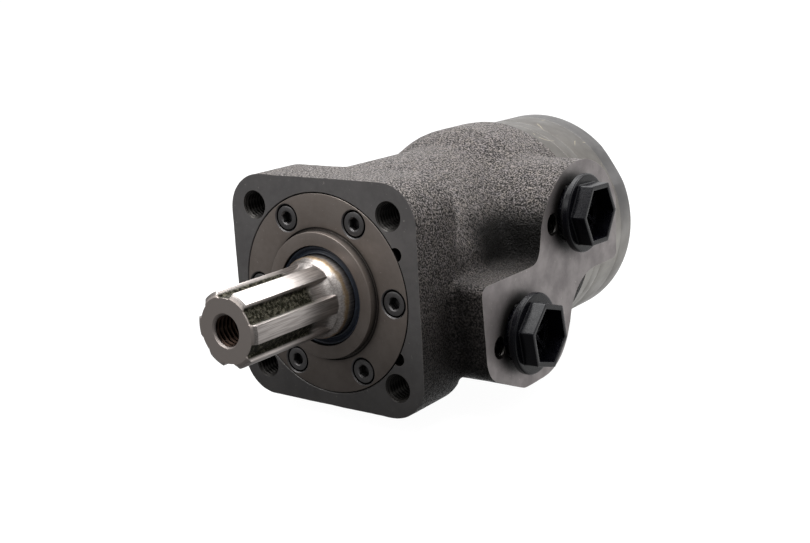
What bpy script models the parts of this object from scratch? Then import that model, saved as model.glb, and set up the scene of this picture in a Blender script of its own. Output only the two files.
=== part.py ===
"""Orbital hydraulic motor: square mounting flange, splined shaft, two side ports and a roller gear set.

Metres, +Z up. The shaft axis is Y and the shaft points to -Y; the ports face +X. The origin is the
centre of the end cover's flat rear face. Distances named *_y are measured rearward from the
mounting face, and every part hangs from an empty placed there.
"""
import math

import bmesh
import bpy
from mathutils import Vector

MM = 0.001
GAP = 0.3 * MM
ROUND = 36
HIDDEN_ROUND = 20
SMALL_ROUND = 12

BODY_LENGTH = 148.0 * MM
FLANGE_HALF = 40.2 * MM
FLANGE_CORNER = 14.0 * MM
FLANGE_DEPTH = 23.0 * MM
NECK_RADIUS = 40.2 * MM
NECK_START_Y = 18.0 * MM
NECK_END_Y = 73.0 * MM
SHOULDER_Y = 80.0 * MM
BARREL_RADIUS = 45.3 * MM
BARREL_START_Y = 87.0 * MM
BARREL_END_Y = 111.0 * MM
RIM_RADIUS = 43.2 * MM
RIM_START_Y = 114.0 * MM
HOUSING_END_Y = 118.0 * MM

MOUNT_HOLE_OFFSET = 82.55 / 2 / math.sqrt(2) * MM
MOUNT_HOLE_RADIUS = 4.4 * MM
MOUNT_HOLE_MOUTH = 4.9 * MM
MOUNT_HOLE_DEPTH = 17.0 * MM

PAD_X = 53.0 * MM
PAD_ROOT_X = 24.0 * MM
PORT_CENTRES = {"a": (41.0 * MM, -17.5 * MM), "b": (79.0 * MM, 17.5 * MM)}
PORT_BORE_RADIUS = 10.5 * MM
PORT_BORE_DEPTH = 15.0 * MM
PORT_DRILL_RADIUS = 5.5 * MM
PORT_DRILL_END_X = 17.0 * MM
PAD_SCREW_CENTRES = ((27.3 * MM, -19.3 * MM), (64.8 * MM, 15.6 * MM))
PAD_SCREW_RADIUS = 3.5 * MM
PAD_SCREW_MOUTH = 3.95 * MM
PAD_SCREW_DEPTH = 12.0 * MM

COVER_RADIUS = 35.0 * MM
COVER_DEPTH = 10.0 * MM
COVER_FIT = 0.25 * MM
COVER_BORE_RADIUS = 15.2 * MM
COVER_SPIGOT_RADIUS = 25.3 * MM
COVER_SPIGOT_STEP_Y = 12.0 * MM
COVER_BACK_Y = 14.0 * MM
O_RING_SEAT_RADIUS = 23.8 * MM
O_RING_RADIUS = 24.75 * MM
O_RING_SECTION = 0.55 * MM
O_RING_Y = 13.0 * MM
PILOT_RADIUS = 22.2 * MM
PILOT_HEIGHT = 2.8 * MM
PILOT_CHAMFER = 0.4 * MM
PILOT_GROOVE_RADIUS = 23.3 * MM
PILOT_GROOVE_DEPTH = 0.6 * MM
WIPER_POCKET_RADIUS = 17.5 * MM
WIPER_POCKET_Y = 2.0 * MM
SEAL_POCKET_RADIUS = 20.5 * MM
SEAL_POCKET_Y = 4.0 * MM
COVER_SCREWS = 6
COVER_SCREW_CIRCLE = 29.45 * MM
COVER_SCREW_HEAD_RADIUS = 4.25 * MM
COVER_SCREW_SHANK_RADIUS = 2.5 * MM
COVER_SCREW_FRONT_Y = 0.2 * MM
COVER_SCREW_HEAD_Y = 5.2 * MM
COVER_SCREW_END_Y = 20.0 * MM
COVER_SCREW_SOCKET_FLATS = 4.0 * MM
COVER_SCREW_SOCKET_Y = 3.0 * MM
NOTCH_ANGLES = (28.0, -32.0)
NOTCH_RADIUS = 2.4 * MM
NOTCH_CIRCLE = 35.6 * MM
NOTCH_DEPTH = 3.0 * MM

SHAFT_TIP_Y = -47.9 * MM
SPLINE_TEETH = 6
SPLINE_TIP_RADIUS = 12.7 * MM
SPLINE_ROOT_RADIUS = 10.6 * MM
SPLINE_TOOTH_WIDTH = 6.25 * MM
SPLINE_CHAMFER = 1.2 * MM
SPLINE_RUN_OUT = ((-15.0 * MM, 0.0), (-12.2 * MM, 0.4 * MM), (-9.8 * MM, 1.2 * MM))
SPLINE_END_Y = -8.4 * MM
JOURNAL_RADIUS = 14.28 * MM
JOURNAL_Y = -5.6 * MM
SHAFT_COLLAR_RADIUS = 23.5 * MM
SHAFT_COLLAR_Y = 22.0 * MM
SHAFT_COLLAR_END_Y = 27.0 * MM
SPOOL_RADIUS = 19.5 * MM
SPOOL_BORE_RADIUS = 15.5 * MM
SPOOL_BORE_Y = 80.0 * MM
SPOOL_GROOVE_RADIUS = 17.3 * MM
SPOOL_GROOVE_HALF_WIDTH = 4.0 * MM
SPOOL_END_Y = 114.0 * MM
SPOOL_SOCKET_Y = 60.0 * MM
GALLERY_HALF_WIDTH = 5.0 * MM
GALLERY_RADIUS = 22.6 * MM
CHAMBER_RADIUS = 25.8 * MM
CHAMBER_END_Y = 30.0 * MM
CENTRE_HOLE_RADIUS = 5.1 * MM
CENTRE_HOLE_MOUTH = 5.8 * MM
CENTRE_HOLE_DEPTH = 24.0 * MM

BEARING_INNER_RADIUS = 15.0 * MM
BEARING_OUTER_RADIUS = 24.0 * MM

ROLLERS = 7
ECCENTRICITY = 2.9 * MM
ROLLER_CIRCLE = 30.5 * MM
ROLLER_RADIUS = 6.0 * MM
ROTOR_CLEARANCE = 0.25 * MM
ROTOR_LOBES = ROLLERS - 1
STATOR_INNER_RADIUS = 31.2 * MM
FIRST_ROLLER_ANGLE = 90.0
SPACER_END_Y = 124.0 * MM
STATOR_END_Y = 138.3 * MM
GEAR_START_Y = SPACER_END_Y + 2 * GAP
GEAR_END_Y = STATOR_END_Y - GAP
PASSAGE_CIRCLE = 27.0 * MM
PASSAGE_RADIUS = 2.2 * MM
PASSAGE_FRONT_Y = 60.0 * MM
PASSAGE_SIDES = 8

DRIVE_TEETH = 10
DRIVE_TIP_RADIUS = 11.4 * MM
DRIVE_ROOT_RADIUS = 9.9 * MM
DRIVE_CLEARANCE = 0.5 * MM
DRIVE_FRONT_Y = 70.0 * MM
DRIVE_REAR_Y = 131.3 * MM
DRIVE_NECK_RADIUS = 8.0 * MM
BUTTON_RADIUS = 7.3 * MM
BUTTON_THICKNESS = 3.4 * MM
BUTTON_SIDE_GAP = 0.8 * MM
BUTTON_END_GAP = 0.6 * MM

END_BOLT_CIRCLE = 35.8 * MM
END_BOLT_RADIUS = 3.0 * MM
END_BOLT_TIP_Y = 104.0 * MM
END_BOLT_HEAD_HEIGHT = 4.0 * MM
END_BOLT_FLATS = 10.0 * MM
END_BOLT_SEAT_RADIUS = 6.3 * MM
END_BOLT_SEAT_Y = BODY_LENGTH - 3.0 * MM
END_WASHER_RADIUS = 5.9 * MM
END_WASHER_THICKNESS = 0.9 * MM
END_COVER_CHAMFER = 0.8 * MM
CENTRE_GROOVE_RADIUS = 25.4 * MM
CENTRE_GROOVE_WIDTH = 1.2 * MM
CENTRE_GROOVE_DEPTH = 0.6 * MM
MARK_FLAT_ANGLE = 34.0
MARK_FLAT_DISTANCE = 42.25 * MM

CHECK_BALL_RADIUS = 2.8 * MM
CHECK_BALL_LIFT = 2.5 * MM
CHECK_BORE_RADIUS = 3.2 * MM
CHECK_BORE_DEPTH = 11.0 * MM
CHECK_CIRCLE = 27.5 * MM

PLUG_FLANGE_RADIUS = 14.3 * MM
PLUG_FLANGE_X = (3.8 * MM, 6.2 * MM)
PLUG_FLANGE_CHAMFER = 0.5 * MM
PLUG_HEX_FLATS = 21.4 * MM
PLUG_WALL = 1.75 * MM
PLUG_TIP_X = 11.5 * MM
PLUG_SHANK_RADIUS = 10.1 * MM
PLUG_SHANK_LENGTH = 10.0 * MM
PLUG_SHANK_FLOOR = 1.5 * MM
PLUG_SEAL_RADIUS = 12.4 * MM
PLUG_SEAL_THICKNESS = 1.6 * MM
PLUG_HEX_FLOOR_X = 4.8 * MM
PLUG_RIBS = 6
PLUG_RIB_WIDTH = 1.1 * MM
PLUG_RIB_TOP_X = 6.0 * MM
PLUG_TURNS = {"a": -17.0, "b": -2.6}

DRAIN_Y = 96.0 * MM
DRAIN_FACE_X = -47.5 * MM
DRAIN_BOSS_RADIUS = 11.0 * MM
DRAIN_BORE_RADIUS = 6.6 * MM
DRAIN_BORE_DEPTH = 14.0 * MM
DRAIN_HEAD_RADIUS = 8.8 * MM
DRAIN_HEAD_X = (-5.0 * MM, -1.8 * MM)
DRAIN_SHANK_LENGTH = 10.0 * MM
DRAIN_WASHER_THICKNESS = 1.5 * MM
DRAIN_SOCKET_FLATS = 6.0 * MM
DRAIN_SOCKET_END_X = 1.0 * MM

AXES = {"X": Vector((1, 0, 0)), "Y": Vector((0, 1, 0)), "Z": Vector((0, 0, 1))}
SIDES = {"X": Vector((0, 1, 0)), "Y": Vector((1, 0, 0)), "Z": Vector((1, 0, 0))}


def clear_scene():
    for thing in list(bpy.data.objects):
        bpy.data.objects.remove(thing, do_unlink=True)


def make_material(name, colour, roughness, metallic):
    material = bpy.data.materials.new(name)
    material.use_nodes = True
    shader = material.node_tree.nodes["Principled BSDF"]
    shader.inputs["Base Color"].default_value = (*colour, 1.0)
    shader.inputs["Roughness"].default_value = roughness
    shader.inputs["Metallic"].default_value = metallic
    return material


def make_materials():
    return {
        "cast": make_material("cast_housing", (0.075, 0.070, 0.064), 0.62, 0.55),
        "cover": make_material("ground_cover", (0.100, 0.088, 0.075), 0.45, 0.70),
        "ring": make_material("turned_rings", (0.200, 0.185, 0.165), 0.42, 0.80),
        "end": make_material("end_cover_grey", (0.110, 0.105, 0.100), 0.48, 0.65),
        "screw": make_material("black_screws", (0.040, 0.038, 0.040), 0.40, 0.75),
        "shaft": make_material("shaft_steel", (0.480, 0.440, 0.390), 0.30, 1.00),
        "bearing": make_material("bearing_steel", (0.560, 0.550, 0.530), 0.22, 1.00),
        "gear": make_material("gear_steel", (0.420, 0.410, 0.390), 0.25, 1.00),
        "zinc": make_material("zinc_bolts", (0.420, 0.400, 0.360), 0.38, 0.90),
        "copper": make_material("copper_washers", (0.550, 0.260, 0.150), 0.38, 1.00),
        "rubber": make_material("blue_black_rubber", (0.012, 0.018, 0.035), 0.50, 0.00),
        "plastic": make_material("black_plastic", (0.014, 0.014, 0.017), 0.30, 0.00),
    }


def mesh_object(name, mesh, material, parent, location=(0, 0, 0)):
    thing = bpy.data.objects.new(name, mesh)
    bpy.context.collection.objects.link(thing)
    thing.location = location
    thing.parent = parent
    if material is not None:
        mesh.materials.append(material)
        mesh.shade_smooth()
        mesh.set_sharp_from_angle(angle=math.radians(35))
    return thing


def finish_mesh(name, shape):
    bmesh.ops.remove_doubles(shape, verts=shape.verts, dist=1e-6)
    bmesh.ops.recalc_face_normals(shape, faces=shape.faces)
    mesh = bpy.data.meshes.new(name)
    shape.to_mesh(mesh)
    shape.free()
    return mesh


def turned_shape(profile, steps, axis="Y", centre=(0, 0, 0), shape=None):
    """Spin a closed (radius, distance along the axis) outline once round the axis."""
    shape = shape or bmesh.new()
    middle = Vector(centre)
    points = [middle + SIDES[axis] * radius + AXES[axis] * along for radius, along in profile]
    verts = [shape.verts.new(point) for point in points]
    edges = [shape.edges.new((verts[i - 1], verts[i])) for i in range(len(verts))
             if profile[i - 1][0] > 0 or profile[i][0] > 0]
    bmesh.ops.spin(shape, geom=verts + edges, cent=middle, axis=AXES[axis], steps=steps,
                   angle=2 * math.pi, use_merge=True)
    return shape


def turned_mesh(name, profile, steps, axis="Y"):
    return finish_mesh(name, turned_shape(profile, steps, axis))


def stepped(*steps):
    """Outline of a solid on the axis, from (radius, start, end) cylinders set end to end."""
    outline = [(0.0, steps[0][1])]
    for radius, start, end in steps:
        outline += [(radius, start), (radius, end)]
    return outline + [(0.0, steps[-1][2])]


def ring_outline(inner, outer, start, end):
    return [(inner, start), (outer, start), (outer, end), (inner, end)]


def section_outline(radius, along, section, corners=5):
    """Section of an O-ring, as a small polygon."""
    angles = [2 * math.pi * (i + 0.5) / corners for i in range(corners)]
    return [(radius + section * math.cos(a), along + section * math.sin(a)) for a in angles]


def lofted_mesh(name, sections):
    """Skin (distance, [(x, z), ...]) sections along Y, all with as many points, and cap the ends."""
    shape = bmesh.new()
    rings = [[shape.verts.new((x, along, z)) for x, z in outline] for along, outline in sections]
    for front, rear in zip(rings, rings[1:]):
        for i in range(len(front)):
            shape.faces.new((front[i - 1], front[i], rear[i], rear[i - 1]))
    shape.faces.new(rings[0])
    shape.faces.new(rings[-1])
    return finish_mesh(name, shape)


def prism_shape(outline, start, end, axis="Y", shape=None):
    """Extrude a flat outline: (x, z) points along Y, or (y, z) points along X."""
    shape = shape or bmesh.new()
    if axis == "Y":
        points = [(first, start, second) for first, second in outline]
    else:
        points = [(start, first, second) for first, second in outline]
    face = shape.faces.new([shape.verts.new(point) for point in points])
    extruded = bmesh.ops.extrude_face_region(shape, geom=[face])["geom"]
    moved = [item for item in extruded if isinstance(item, bmesh.types.BMVert)]
    bmesh.ops.translate(shape, verts=moved, vec=AXES[axis] * (end - start))
    return shape


def arc(centre, radius, start, end, steps):
    """Points on an arc between two angles in degrees."""
    angles = [math.radians(start + (end - start) * i / steps) for i in range(steps + 1)]
    return [(centre[0] + radius * math.cos(a), centre[1] + radius * math.sin(a)) for a in angles]


def polar(radius, degrees):
    angle = math.radians(degrees)
    return radius * math.cos(angle), radius * math.sin(angle)


def regular_outline(corners, radius, centre=(0, 0), turn=0.0):
    points = [polar(radius, turn + 360.0 * i / corners) for i in range(corners)]
    return [(centre[0] + x, centre[1] + z) for x, z in points]


def hexagon(flats, centre=(0, 0), turn=0.0):
    return regular_outline(6, flats / math.sqrt(3), centre, turn)


def cutter(name, shape, parent):
    thing = mesh_object(name, finish_mesh(name, shape), None, parent)
    thing.hide_render = True
    thing.display_type = "WIRE"
    return thing


def combine(thing, tool, operation):
    modifier = thing.modifiers.new(tool.name, "BOOLEAN")
    modifier.operation = operation
    modifier.solver = "EXACT"
    modifier.object = tool


def spaced_angles(count, first=0.0):
    return [first + 360.0 * i / count for i in range(count)]


def gap_angles():
    """Angles midway between neighbouring rollers, where the end bolts and the oil passages lie."""
    return spaced_angles(ROLLERS, FIRST_ROLLER_ANGLE + 180.0 / ROLLERS)


def flange_outline():
    reach = FLANGE_HALF - FLANGE_CORNER
    corners = ((1, 1, 0), (-1, 1, 90), (-1, -1, 180), (1, -1, 270))
    outline = []
    for x, z, start in corners:
        outline += arc((x * reach, z * reach), FLANGE_CORNER, start, start + 90, 8)
    return outline


def pad_outline():
    """Outline of the port pad in (y, z): a round rear lobe above a smaller front lobe."""
    points = arc((85.3, 4.6), 31.0, 158, 22, 15)
    points += arc((111.7, -4.6), 2.3, 0, -90, 3)
    points += arc((95.0, -26.2), 19.4, 90, 172, 6)
    points += arc((56.0, -18.5), 20.0, -14, -92, 8)
    points += arc((44.0, -28.8), 9.8, -90, -122, 3)
    points += arc((29.0, -21.5), 10.5, -122, -175, 4)
    points += arc((20.0, 0.7), 3.0, 178, 90, 3)
    points += arc((50.0, 8.7), 5.0, -90, -10, 4)
    return [(y * MM, z * MM) for y, z in points]


def tapped_hole(shape, centre, axis, sign, radius, mouth, depth):
    """A blind hole with a drill point and a chamfered mouth, cut into the face at the centre."""
    lip = mouth - radius
    outline = [(0.0, -sign * MM), (mouth, -sign * MM), (mouth, 0.0), (radius, sign * lip),
               (radius, sign * depth), (0.0, sign * (depth + radius * 0.6))]
    turned_shape(outline, SMALL_ROUND, axis, centre, shape)


def add_housing(materials, base):
    barrel = [(0.0, NECK_START_Y), (NECK_RADIUS, NECK_START_Y), (NECK_RADIUS, NECK_END_Y),
              (RIM_RADIUS, SHOULDER_Y), (BARREL_RADIUS, BARREL_START_Y), (BARREL_RADIUS, BARREL_END_Y),
              (RIM_RADIUS, RIM_START_Y), (RIM_RADIUS, HOUSING_END_Y), (0.0, HOUSING_END_Y)]
    housing = mesh_object("housing", turned_mesh("housing", barrel, ROUND), materials["cast"], base)
    flange = prism_shape(flange_outline(), 0.0, FLANGE_DEPTH)
    combine(housing, cutter("flange_block", flange, base), "UNION")
    pad = prism_shape(pad_outline(), PAD_ROOT_X, PAD_X, "X")
    combine(housing, cutter("pad_block", pad, base), "UNION")
    boss = stepped((DRAIN_BOSS_RADIUS, DRAIN_FACE_X, -PAD_ROOT_X))
    boss = turned_shape(boss, HIDDEN_ROUND, "X", (0, DRAIN_Y, 0))
    combine(housing, cutter("drain_boss", boss, base), "UNION")
    recess = stepped((COVER_RADIUS + COVER_FIT, -MM, COVER_DEPTH + GAP))
    combine(housing, cutter("cover_recess", turned_shape(recess, ROUND), base), "DIFFERENCE")
    combine(housing, cutter("housing_bore", housing_bore(), base), "DIFFERENCE")
    combine(housing, cutter("housing_ports", housing_ports(), base), "DIFFERENCE")
    combine(housing, cutter("housing_holes", housing_holes(), base), "DIFFERENCE")
    return housing


def housing_bore():
    """Bearing chamber, and spool bore with a gallery at each port."""
    bore = SPOOL_RADIUS + GAP
    steps = [(CHAMBER_RADIUS, COVER_DEPTH, CHAMBER_END_Y)]
    start = CHAMBER_END_Y
    for middle, _ in PORT_CENTRES.values():
        steps.append((bore, start, middle - GALLERY_HALF_WIDTH))
        steps.append((GALLERY_RADIUS, middle - GALLERY_HALF_WIDTH, middle + GALLERY_HALF_WIDTH))
        start = middle + GALLERY_HALF_WIDTH
    steps.append((bore, start, HOUSING_END_Y + MM))
    return turned_shape(stepped(*steps), HIDDEN_ROUND)


def housing_ports():
    shape = bmesh.new()
    depth = PAD_X - PORT_BORE_DEPTH
    for y, z in PORT_CENTRES.values():
        steps = stepped((PORT_DRILL_RADIUS, PORT_DRILL_END_X, depth), (PORT_BORE_RADIUS, depth, PAD_X + MM))
        turned_shape(steps, HIDDEN_ROUND, "X", (0, y, z), shape)
    steps = stepped((DRAIN_BORE_RADIUS, DRAIN_FACE_X - MM, DRAIN_FACE_X + DRAIN_BORE_DEPTH))
    turned_shape(steps, SMALL_ROUND, "X", (0, DRAIN_Y, 0), shape)
    return shape


def housing_holes():
    """Mounting, pad, cover-screw and end-bolt holes, and the oil and check-valve bores behind."""
    shape = bmesh.new()
    for x in (-MOUNT_HOLE_OFFSET, MOUNT_HOLE_OFFSET):
        for z in (-MOUNT_HOLE_OFFSET, MOUNT_HOLE_OFFSET):
            tapped_hole(shape, (x, 0, z), "Y", 1, MOUNT_HOLE_RADIUS, MOUNT_HOLE_MOUTH, MOUNT_HOLE_DEPTH)
    for y, z in PAD_SCREW_CENTRES:
        tapped_hole(shape, (PAD_X, y, z), "X", -1, PAD_SCREW_RADIUS, PAD_SCREW_MOUTH, PAD_SCREW_DEPTH)
    for angle in NOTCH_ANGLES:
        x, z = polar(NOTCH_CIRCLE, angle)
        notch = stepped((NOTCH_RADIUS, -MM, NOTCH_DEPTH))
        turned_shape(notch, SMALL_ROUND, "Y", (x, 0, z), shape)
    for angle in spaced_angles(COVER_SCREWS):
        x, z = polar(COVER_SCREW_CIRCLE, angle)
        hole = stepped((COVER_SCREW_SHANK_RADIUS + GAP, COVER_DEPTH, COVER_SCREW_END_Y + MM))
        turned_shape(hole, SMALL_ROUND, "Y", (x, 0, z), shape)
    for angle in gap_angles():
        x, z = polar(END_BOLT_CIRCLE, angle)
        hole = stepped((END_BOLT_RADIUS + GAP, END_BOLT_TIP_Y - MM, HOUSING_END_Y + MM))
        turned_shape(hole, SMALL_ROUND, "Y", (x, 0, z), shape)
        x, z = polar(PASSAGE_CIRCLE, angle)
        passage = stepped((PASSAGE_RADIUS, PASSAGE_FRONT_Y, HOUSING_END_Y + MM))
        turned_shape(passage, PASSAGE_SIDES, "Y", (x, 0, z), shape)
    for angle in check_angles():
        x, z = polar(CHECK_CIRCLE, angle)
        bore = stepped((CHECK_BORE_RADIUS, HOUSING_END_Y - CHECK_BORE_DEPTH, HOUSING_END_Y + MM))
        turned_shape(bore, SMALL_ROUND, "Y", (x, 0, z), shape)
    return shape


def check_angles():
    """The two check valves sit in line with two opposite-lying rollers."""
    angles = spaced_angles(ROLLERS, FIRST_ROLLER_ANGLE)
    return angles[1], angles[5]


def add_front_cover(materials, base):
    profile = [(COVER_BORE_RADIUS, WIPER_POCKET_Y), (WIPER_POCKET_RADIUS, WIPER_POCKET_Y),
               (WIPER_POCKET_RADIUS, -PILOT_HEIGHT), (PILOT_RADIUS - PILOT_CHAMFER, -PILOT_HEIGHT),
               (PILOT_RADIUS, PILOT_CHAMFER - PILOT_HEIGHT), (PILOT_RADIUS, PILOT_GROOVE_DEPTH),
               (PILOT_GROOVE_RADIUS, PILOT_GROOVE_DEPTH), (PILOT_GROOVE_RADIUS, 0.0),
               (COVER_RADIUS, 0.0), (COVER_RADIUS, COVER_DEPTH), (COVER_SPIGOT_RADIUS, COVER_DEPTH),
               (COVER_SPIGOT_RADIUS, COVER_SPIGOT_STEP_Y), (O_RING_SEAT_RADIUS, COVER_SPIGOT_STEP_Y),
               (O_RING_SEAT_RADIUS, COVER_BACK_Y), (SEAL_POCKET_RADIUS, COVER_BACK_Y),
               (SEAL_POCKET_RADIUS, SEAL_POCKET_Y), (COVER_BORE_RADIUS, SEAL_POCKET_Y)]
    cover = mesh_object("front_cover", turned_mesh("front_cover", profile, ROUND), materials["cover"], base)
    holes = bmesh.new()
    floor = COVER_SCREW_HEAD_Y + GAP
    for angle in spaced_angles(COVER_SCREWS):
        x, z = polar(COVER_SCREW_CIRCLE, angle)
        steps = stepped((COVER_SCREW_HEAD_RADIUS + 0.5 * MM, -MM, floor),
                        (COVER_SCREW_SHANK_RADIUS + GAP, floor, COVER_DEPTH + MM))
        turned_shape(steps, SMALL_ROUND, "Y", (x, 0, z), holes)
    combine(cover, cutter("cover_holes", holes, base), "DIFFERENCE")


def add_cover_screws(materials, base):
    """Six socket head cap screws; each has a hexagon socket open to the front."""
    outline = stepped((COVER_SCREW_HEAD_RADIUS, COVER_SCREW_FRONT_Y, COVER_SCREW_HEAD_Y),
                      (COVER_SCREW_SHANK_RADIUS, COVER_SCREW_HEAD_Y, COVER_SCREW_END_Y))
    for number, angle in enumerate(spaced_angles(COVER_SCREWS), start=1):
        x, z = polar(COVER_SCREW_CIRCLE, angle)
        name = f"cover_screw_{number}"
        mesh = turned_mesh(name, outline, SMALL_ROUND)
        screw = mesh_object(name, mesh, materials["screw"], base, (x, 0, z))
        socket = prism_shape(hexagon(COVER_SCREW_SOCKET_FLATS, turn=angle), -MM, COVER_SCREW_SOCKET_Y)
        tool = cutter(f"{name}_socket", socket, base)
        tool.location = (x, 0, z)
        combine(screw, tool, "DIFFERENCE")


def add_turned(name, profile, material, parent, steps=ROUND):
    return mesh_object(name, turned_mesh(name, profile, steps), material, parent)


def add_seals(materials, base):
    rubber = materials["rubber"]
    wiper = [(14.6, -1.9), (15.6, -1.2), (16.7, -2.0), (17.2, -2.0), (17.2, 1.7), (15.5, 1.7)]
    seal = [(14.8, 5.6), (16.4, 4.4), (20.1, 4.4), (20.1, 11.6), (18.4, 11.6), (16.4, 7.0)]
    for name, outline, steps in (("dust_wiper", wiper, ROUND), ("shaft_seal", seal, HIDDEN_ROUND)):
        add_turned(name, [(radius * MM, along * MM) for radius, along in outline], rubber, base, steps)
    ring = section_outline(O_RING_RADIUS, O_RING_Y, O_RING_SECTION)
    add_turned("cover_o_ring", ring, rubber, base, HIDDEN_ROUND)


def add_thrust_bearing(materials, base):
    """Needle thrust bearing between the front cover and the shaft's collar."""
    layers = (("thrust_washer_front", 0.0, 14.3, 16.3), ("thrust_needle_cage", 0.6, 16.6, 19.4),
              ("thrust_washer_rear", 0.0, 19.7, 21.7))
    for name, inset, start, end in layers:
        outline = ring_outline(BEARING_INNER_RADIUS + inset * MM, BEARING_OUTER_RADIUS - inset * MM,
                               start * MM, end * MM)
        add_turned(name, outline, materials["bearing"], base, HIDDEN_ROUND)


def spline_section(tip, root, half_width):
    """Six-tooth shaft section with flat-sided teeth: six points to each tooth and its valley."""
    tip_angle = math.degrees(math.asin(half_width / tip))
    root_angle = math.degrees(math.asin(half_width / root))
    outline = []
    for tooth in spaced_angles(SPLINE_TEETH):
        for radius, offset in ((tip, -tip_angle), (tip, 0.0), (tip, tip_angle), (root, root_angle),
                               (root, 30.0), (root, 60.0 - root_angle)):
            outline.append(polar(radius, tooth + offset))
    return outline


def round_section(radius, points, first=0.0):
    return [polar(radius, first + 360.0 * i / points) for i in range(points)]


def add_output_shaft(materials, base):
    """Splined shaft and spool valve in one piece, with the drive socket inside."""
    points = 6 * SPLINE_TEETH
    half_width = SPLINE_TOOTH_WIDTH / 2
    tip = SPLINE_TIP_RADIUS
    root = SPLINE_ROOT_RADIUS
    hair = 0.02 * MM
    sections = [(SHAFT_TIP_Y, spline_section(root + hair, root, half_width)),
                (SHAFT_TIP_Y + SPLINE_CHAMFER, spline_section(tip, root, half_width))]
    for along, rise in SPLINE_RUN_OUT:
        sections.append((along, spline_section(tip, root + rise, half_width)))
    rings = [(tip + hair, SPLINE_END_Y), (JOURNAL_RADIUS, JOURNAL_Y), (JOURNAL_RADIUS, SHAFT_COLLAR_Y),
             (SHAFT_COLLAR_RADIUS, SHAFT_COLLAR_Y), (SHAFT_COLLAR_RADIUS, SHAFT_COLLAR_END_Y),
             (SPOOL_RADIUS, SHAFT_COLLAR_END_Y)]
    for middle, _ in PORT_CENTRES.values():
        front = middle - SPOOL_GROOVE_HALF_WIDTH
        rear = middle + SPOOL_GROOVE_HALF_WIDTH
        rings += [(SPOOL_RADIUS, front), (SPOOL_GROOVE_RADIUS, front),
                  (SPOOL_GROOVE_RADIUS, rear), (SPOOL_RADIUS, rear)]
    rings.append((SPOOL_RADIUS, SPOOL_END_Y))
    sections += [(along, round_section(radius, points, first=-10.0)) for radius, along in rings]
    shaft = mesh_object("output_shaft", lofted_mesh("output_shaft", sections), materials["shaft"], base)

    hole = bmesh.new()
    tapped_hole(hole, (0, SHAFT_TIP_Y, 0), "Y", 1, CENTRE_HOLE_RADIUS, CENTRE_HOLE_MOUTH, CENTRE_HOLE_DEPTH)
    combine(shaft, cutter("shaft_centre_hole", hole, base), "DIFFERENCE")
    socket = prism_shape(drive_section(DRIVE_CLEARANCE), SPOOL_SOCKET_Y, SPOOL_BORE_Y + 2 * MM)
    combine(shaft, cutter("shaft_socket", socket, base), "DIFFERENCE")
    bore = turned_shape(stepped((SPOOL_BORE_RADIUS, SPOOL_BORE_Y, SPOOL_END_Y + MM)), ROUND)
    combine(shaft, cutter("shaft_bore", bore, base), "DIFFERENCE")


def drive_section(clearance=0.0, crown=0.0):
    """Ten-tooth drive spline; clearance widens it into its socket, crown lowers the tooth tips."""
    tip = DRIVE_TIP_RADIUS + clearance - crown
    root = DRIVE_ROOT_RADIUS + clearance - crown / 2
    slack = math.degrees(clearance / DRIVE_TIP_RADIUS)
    outline = []
    for tooth in spaced_angles(DRIVE_TEETH):
        for radius, offset in ((root, -9.0), (tip, -6.0), (tip, 6.0), (root, 9.0)):
            outline.append(polar(radius, tooth + offset + math.copysign(slack, offset)))
    return outline


def eccentric():
    """Where the rotor's axis stands at rest: toward the first roller."""
    x, z = polar(ECCENTRICITY, FIRST_ROLLER_ANGLE)
    return Vector((x, 0, z))


def add_cardan_shaft(materials, base):
    """Drive link, tilted from the spool's axis to the rotor's, with a crowned spline at each end."""
    length = DRIVE_REAR_Y - DRIVE_FRONT_Y
    crown = 0.35 * MM
    neck = round_section(DRIVE_NECK_RADIUS, 4 * DRIVE_TEETH, first=-9.0)
    sections = []
    for middle, half, inner in ((0.0, 6.0 * MM, 1), (length, 6.2 * MM, -1)):
        head = [(middle - half, drive_section(crown=crown)), (middle, drive_section()),
                (middle + half, drive_section(crown=crown))]
        link = (middle + inner * (half + 2.5 * MM), neck)
        sections += head + [link] if inner > 0 else [link] + head
    shaft = mesh_object("cardan_shaft", lofted_mesh("cardan_shaft", sections), materials["gear"], base,
                        (0, DRIVE_FRONT_Y, 0))
    direction = Vector((0, length, 0)) + eccentric()
    shaft.rotation_mode = "QUATERNION"
    shaft.rotation_quaternion = AXES["Y"].rotation_difference(direction)


def add_cardan_spacer(materials, base):
    """Loose button between the drive link's end and the end cover; it orbits with the link."""
    start = STATOR_END_Y + 2 * GAP
    outline = stepped((BUTTON_RADIUS, start, start + BUTTON_THICKNESS))
    mesh = turned_mesh("cardan_spacer", outline, 24)
    mesh_object("cardan_spacer", mesh, materials["gear"], base, eccentric())


def rotor_outline(points_per_lobe=14, crowding=0.75):
    """Envelope of the rollers as the rotor orbits: a trochoid moved inward by the roller radius.

    Crowding draws the points together in the valleys, where the outline turns fastest.
    """
    count = ROTOR_LOBES * points_per_lobe
    offset = ROLLER_RADIUS + ROTOR_CLEARANCE
    first = math.radians(FIRST_ROLLER_ANGLE)
    outline = []
    for i in range(count):
        even = 2 * math.pi * i / count
        turn = even - crowding * math.sin(ROTOR_LOBES * even) / ROTOR_LOBES
        spin = complex(math.cos(turn), math.sin(turn))
        wobble = complex(math.cos(ROLLERS * turn), math.sin(ROLLERS * turn))
        path = ROLLER_CIRCLE * spin - ECCENTRICITY * wobble
        inward = ROLLERS * ECCENTRICITY * wobble - ROLLER_CIRCLE * spin
        point = path + offset * inward / abs(inward)
        point *= complex(math.cos(first), math.sin(first))
        outline.append((point.real, point.imag))
    return outline


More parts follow.
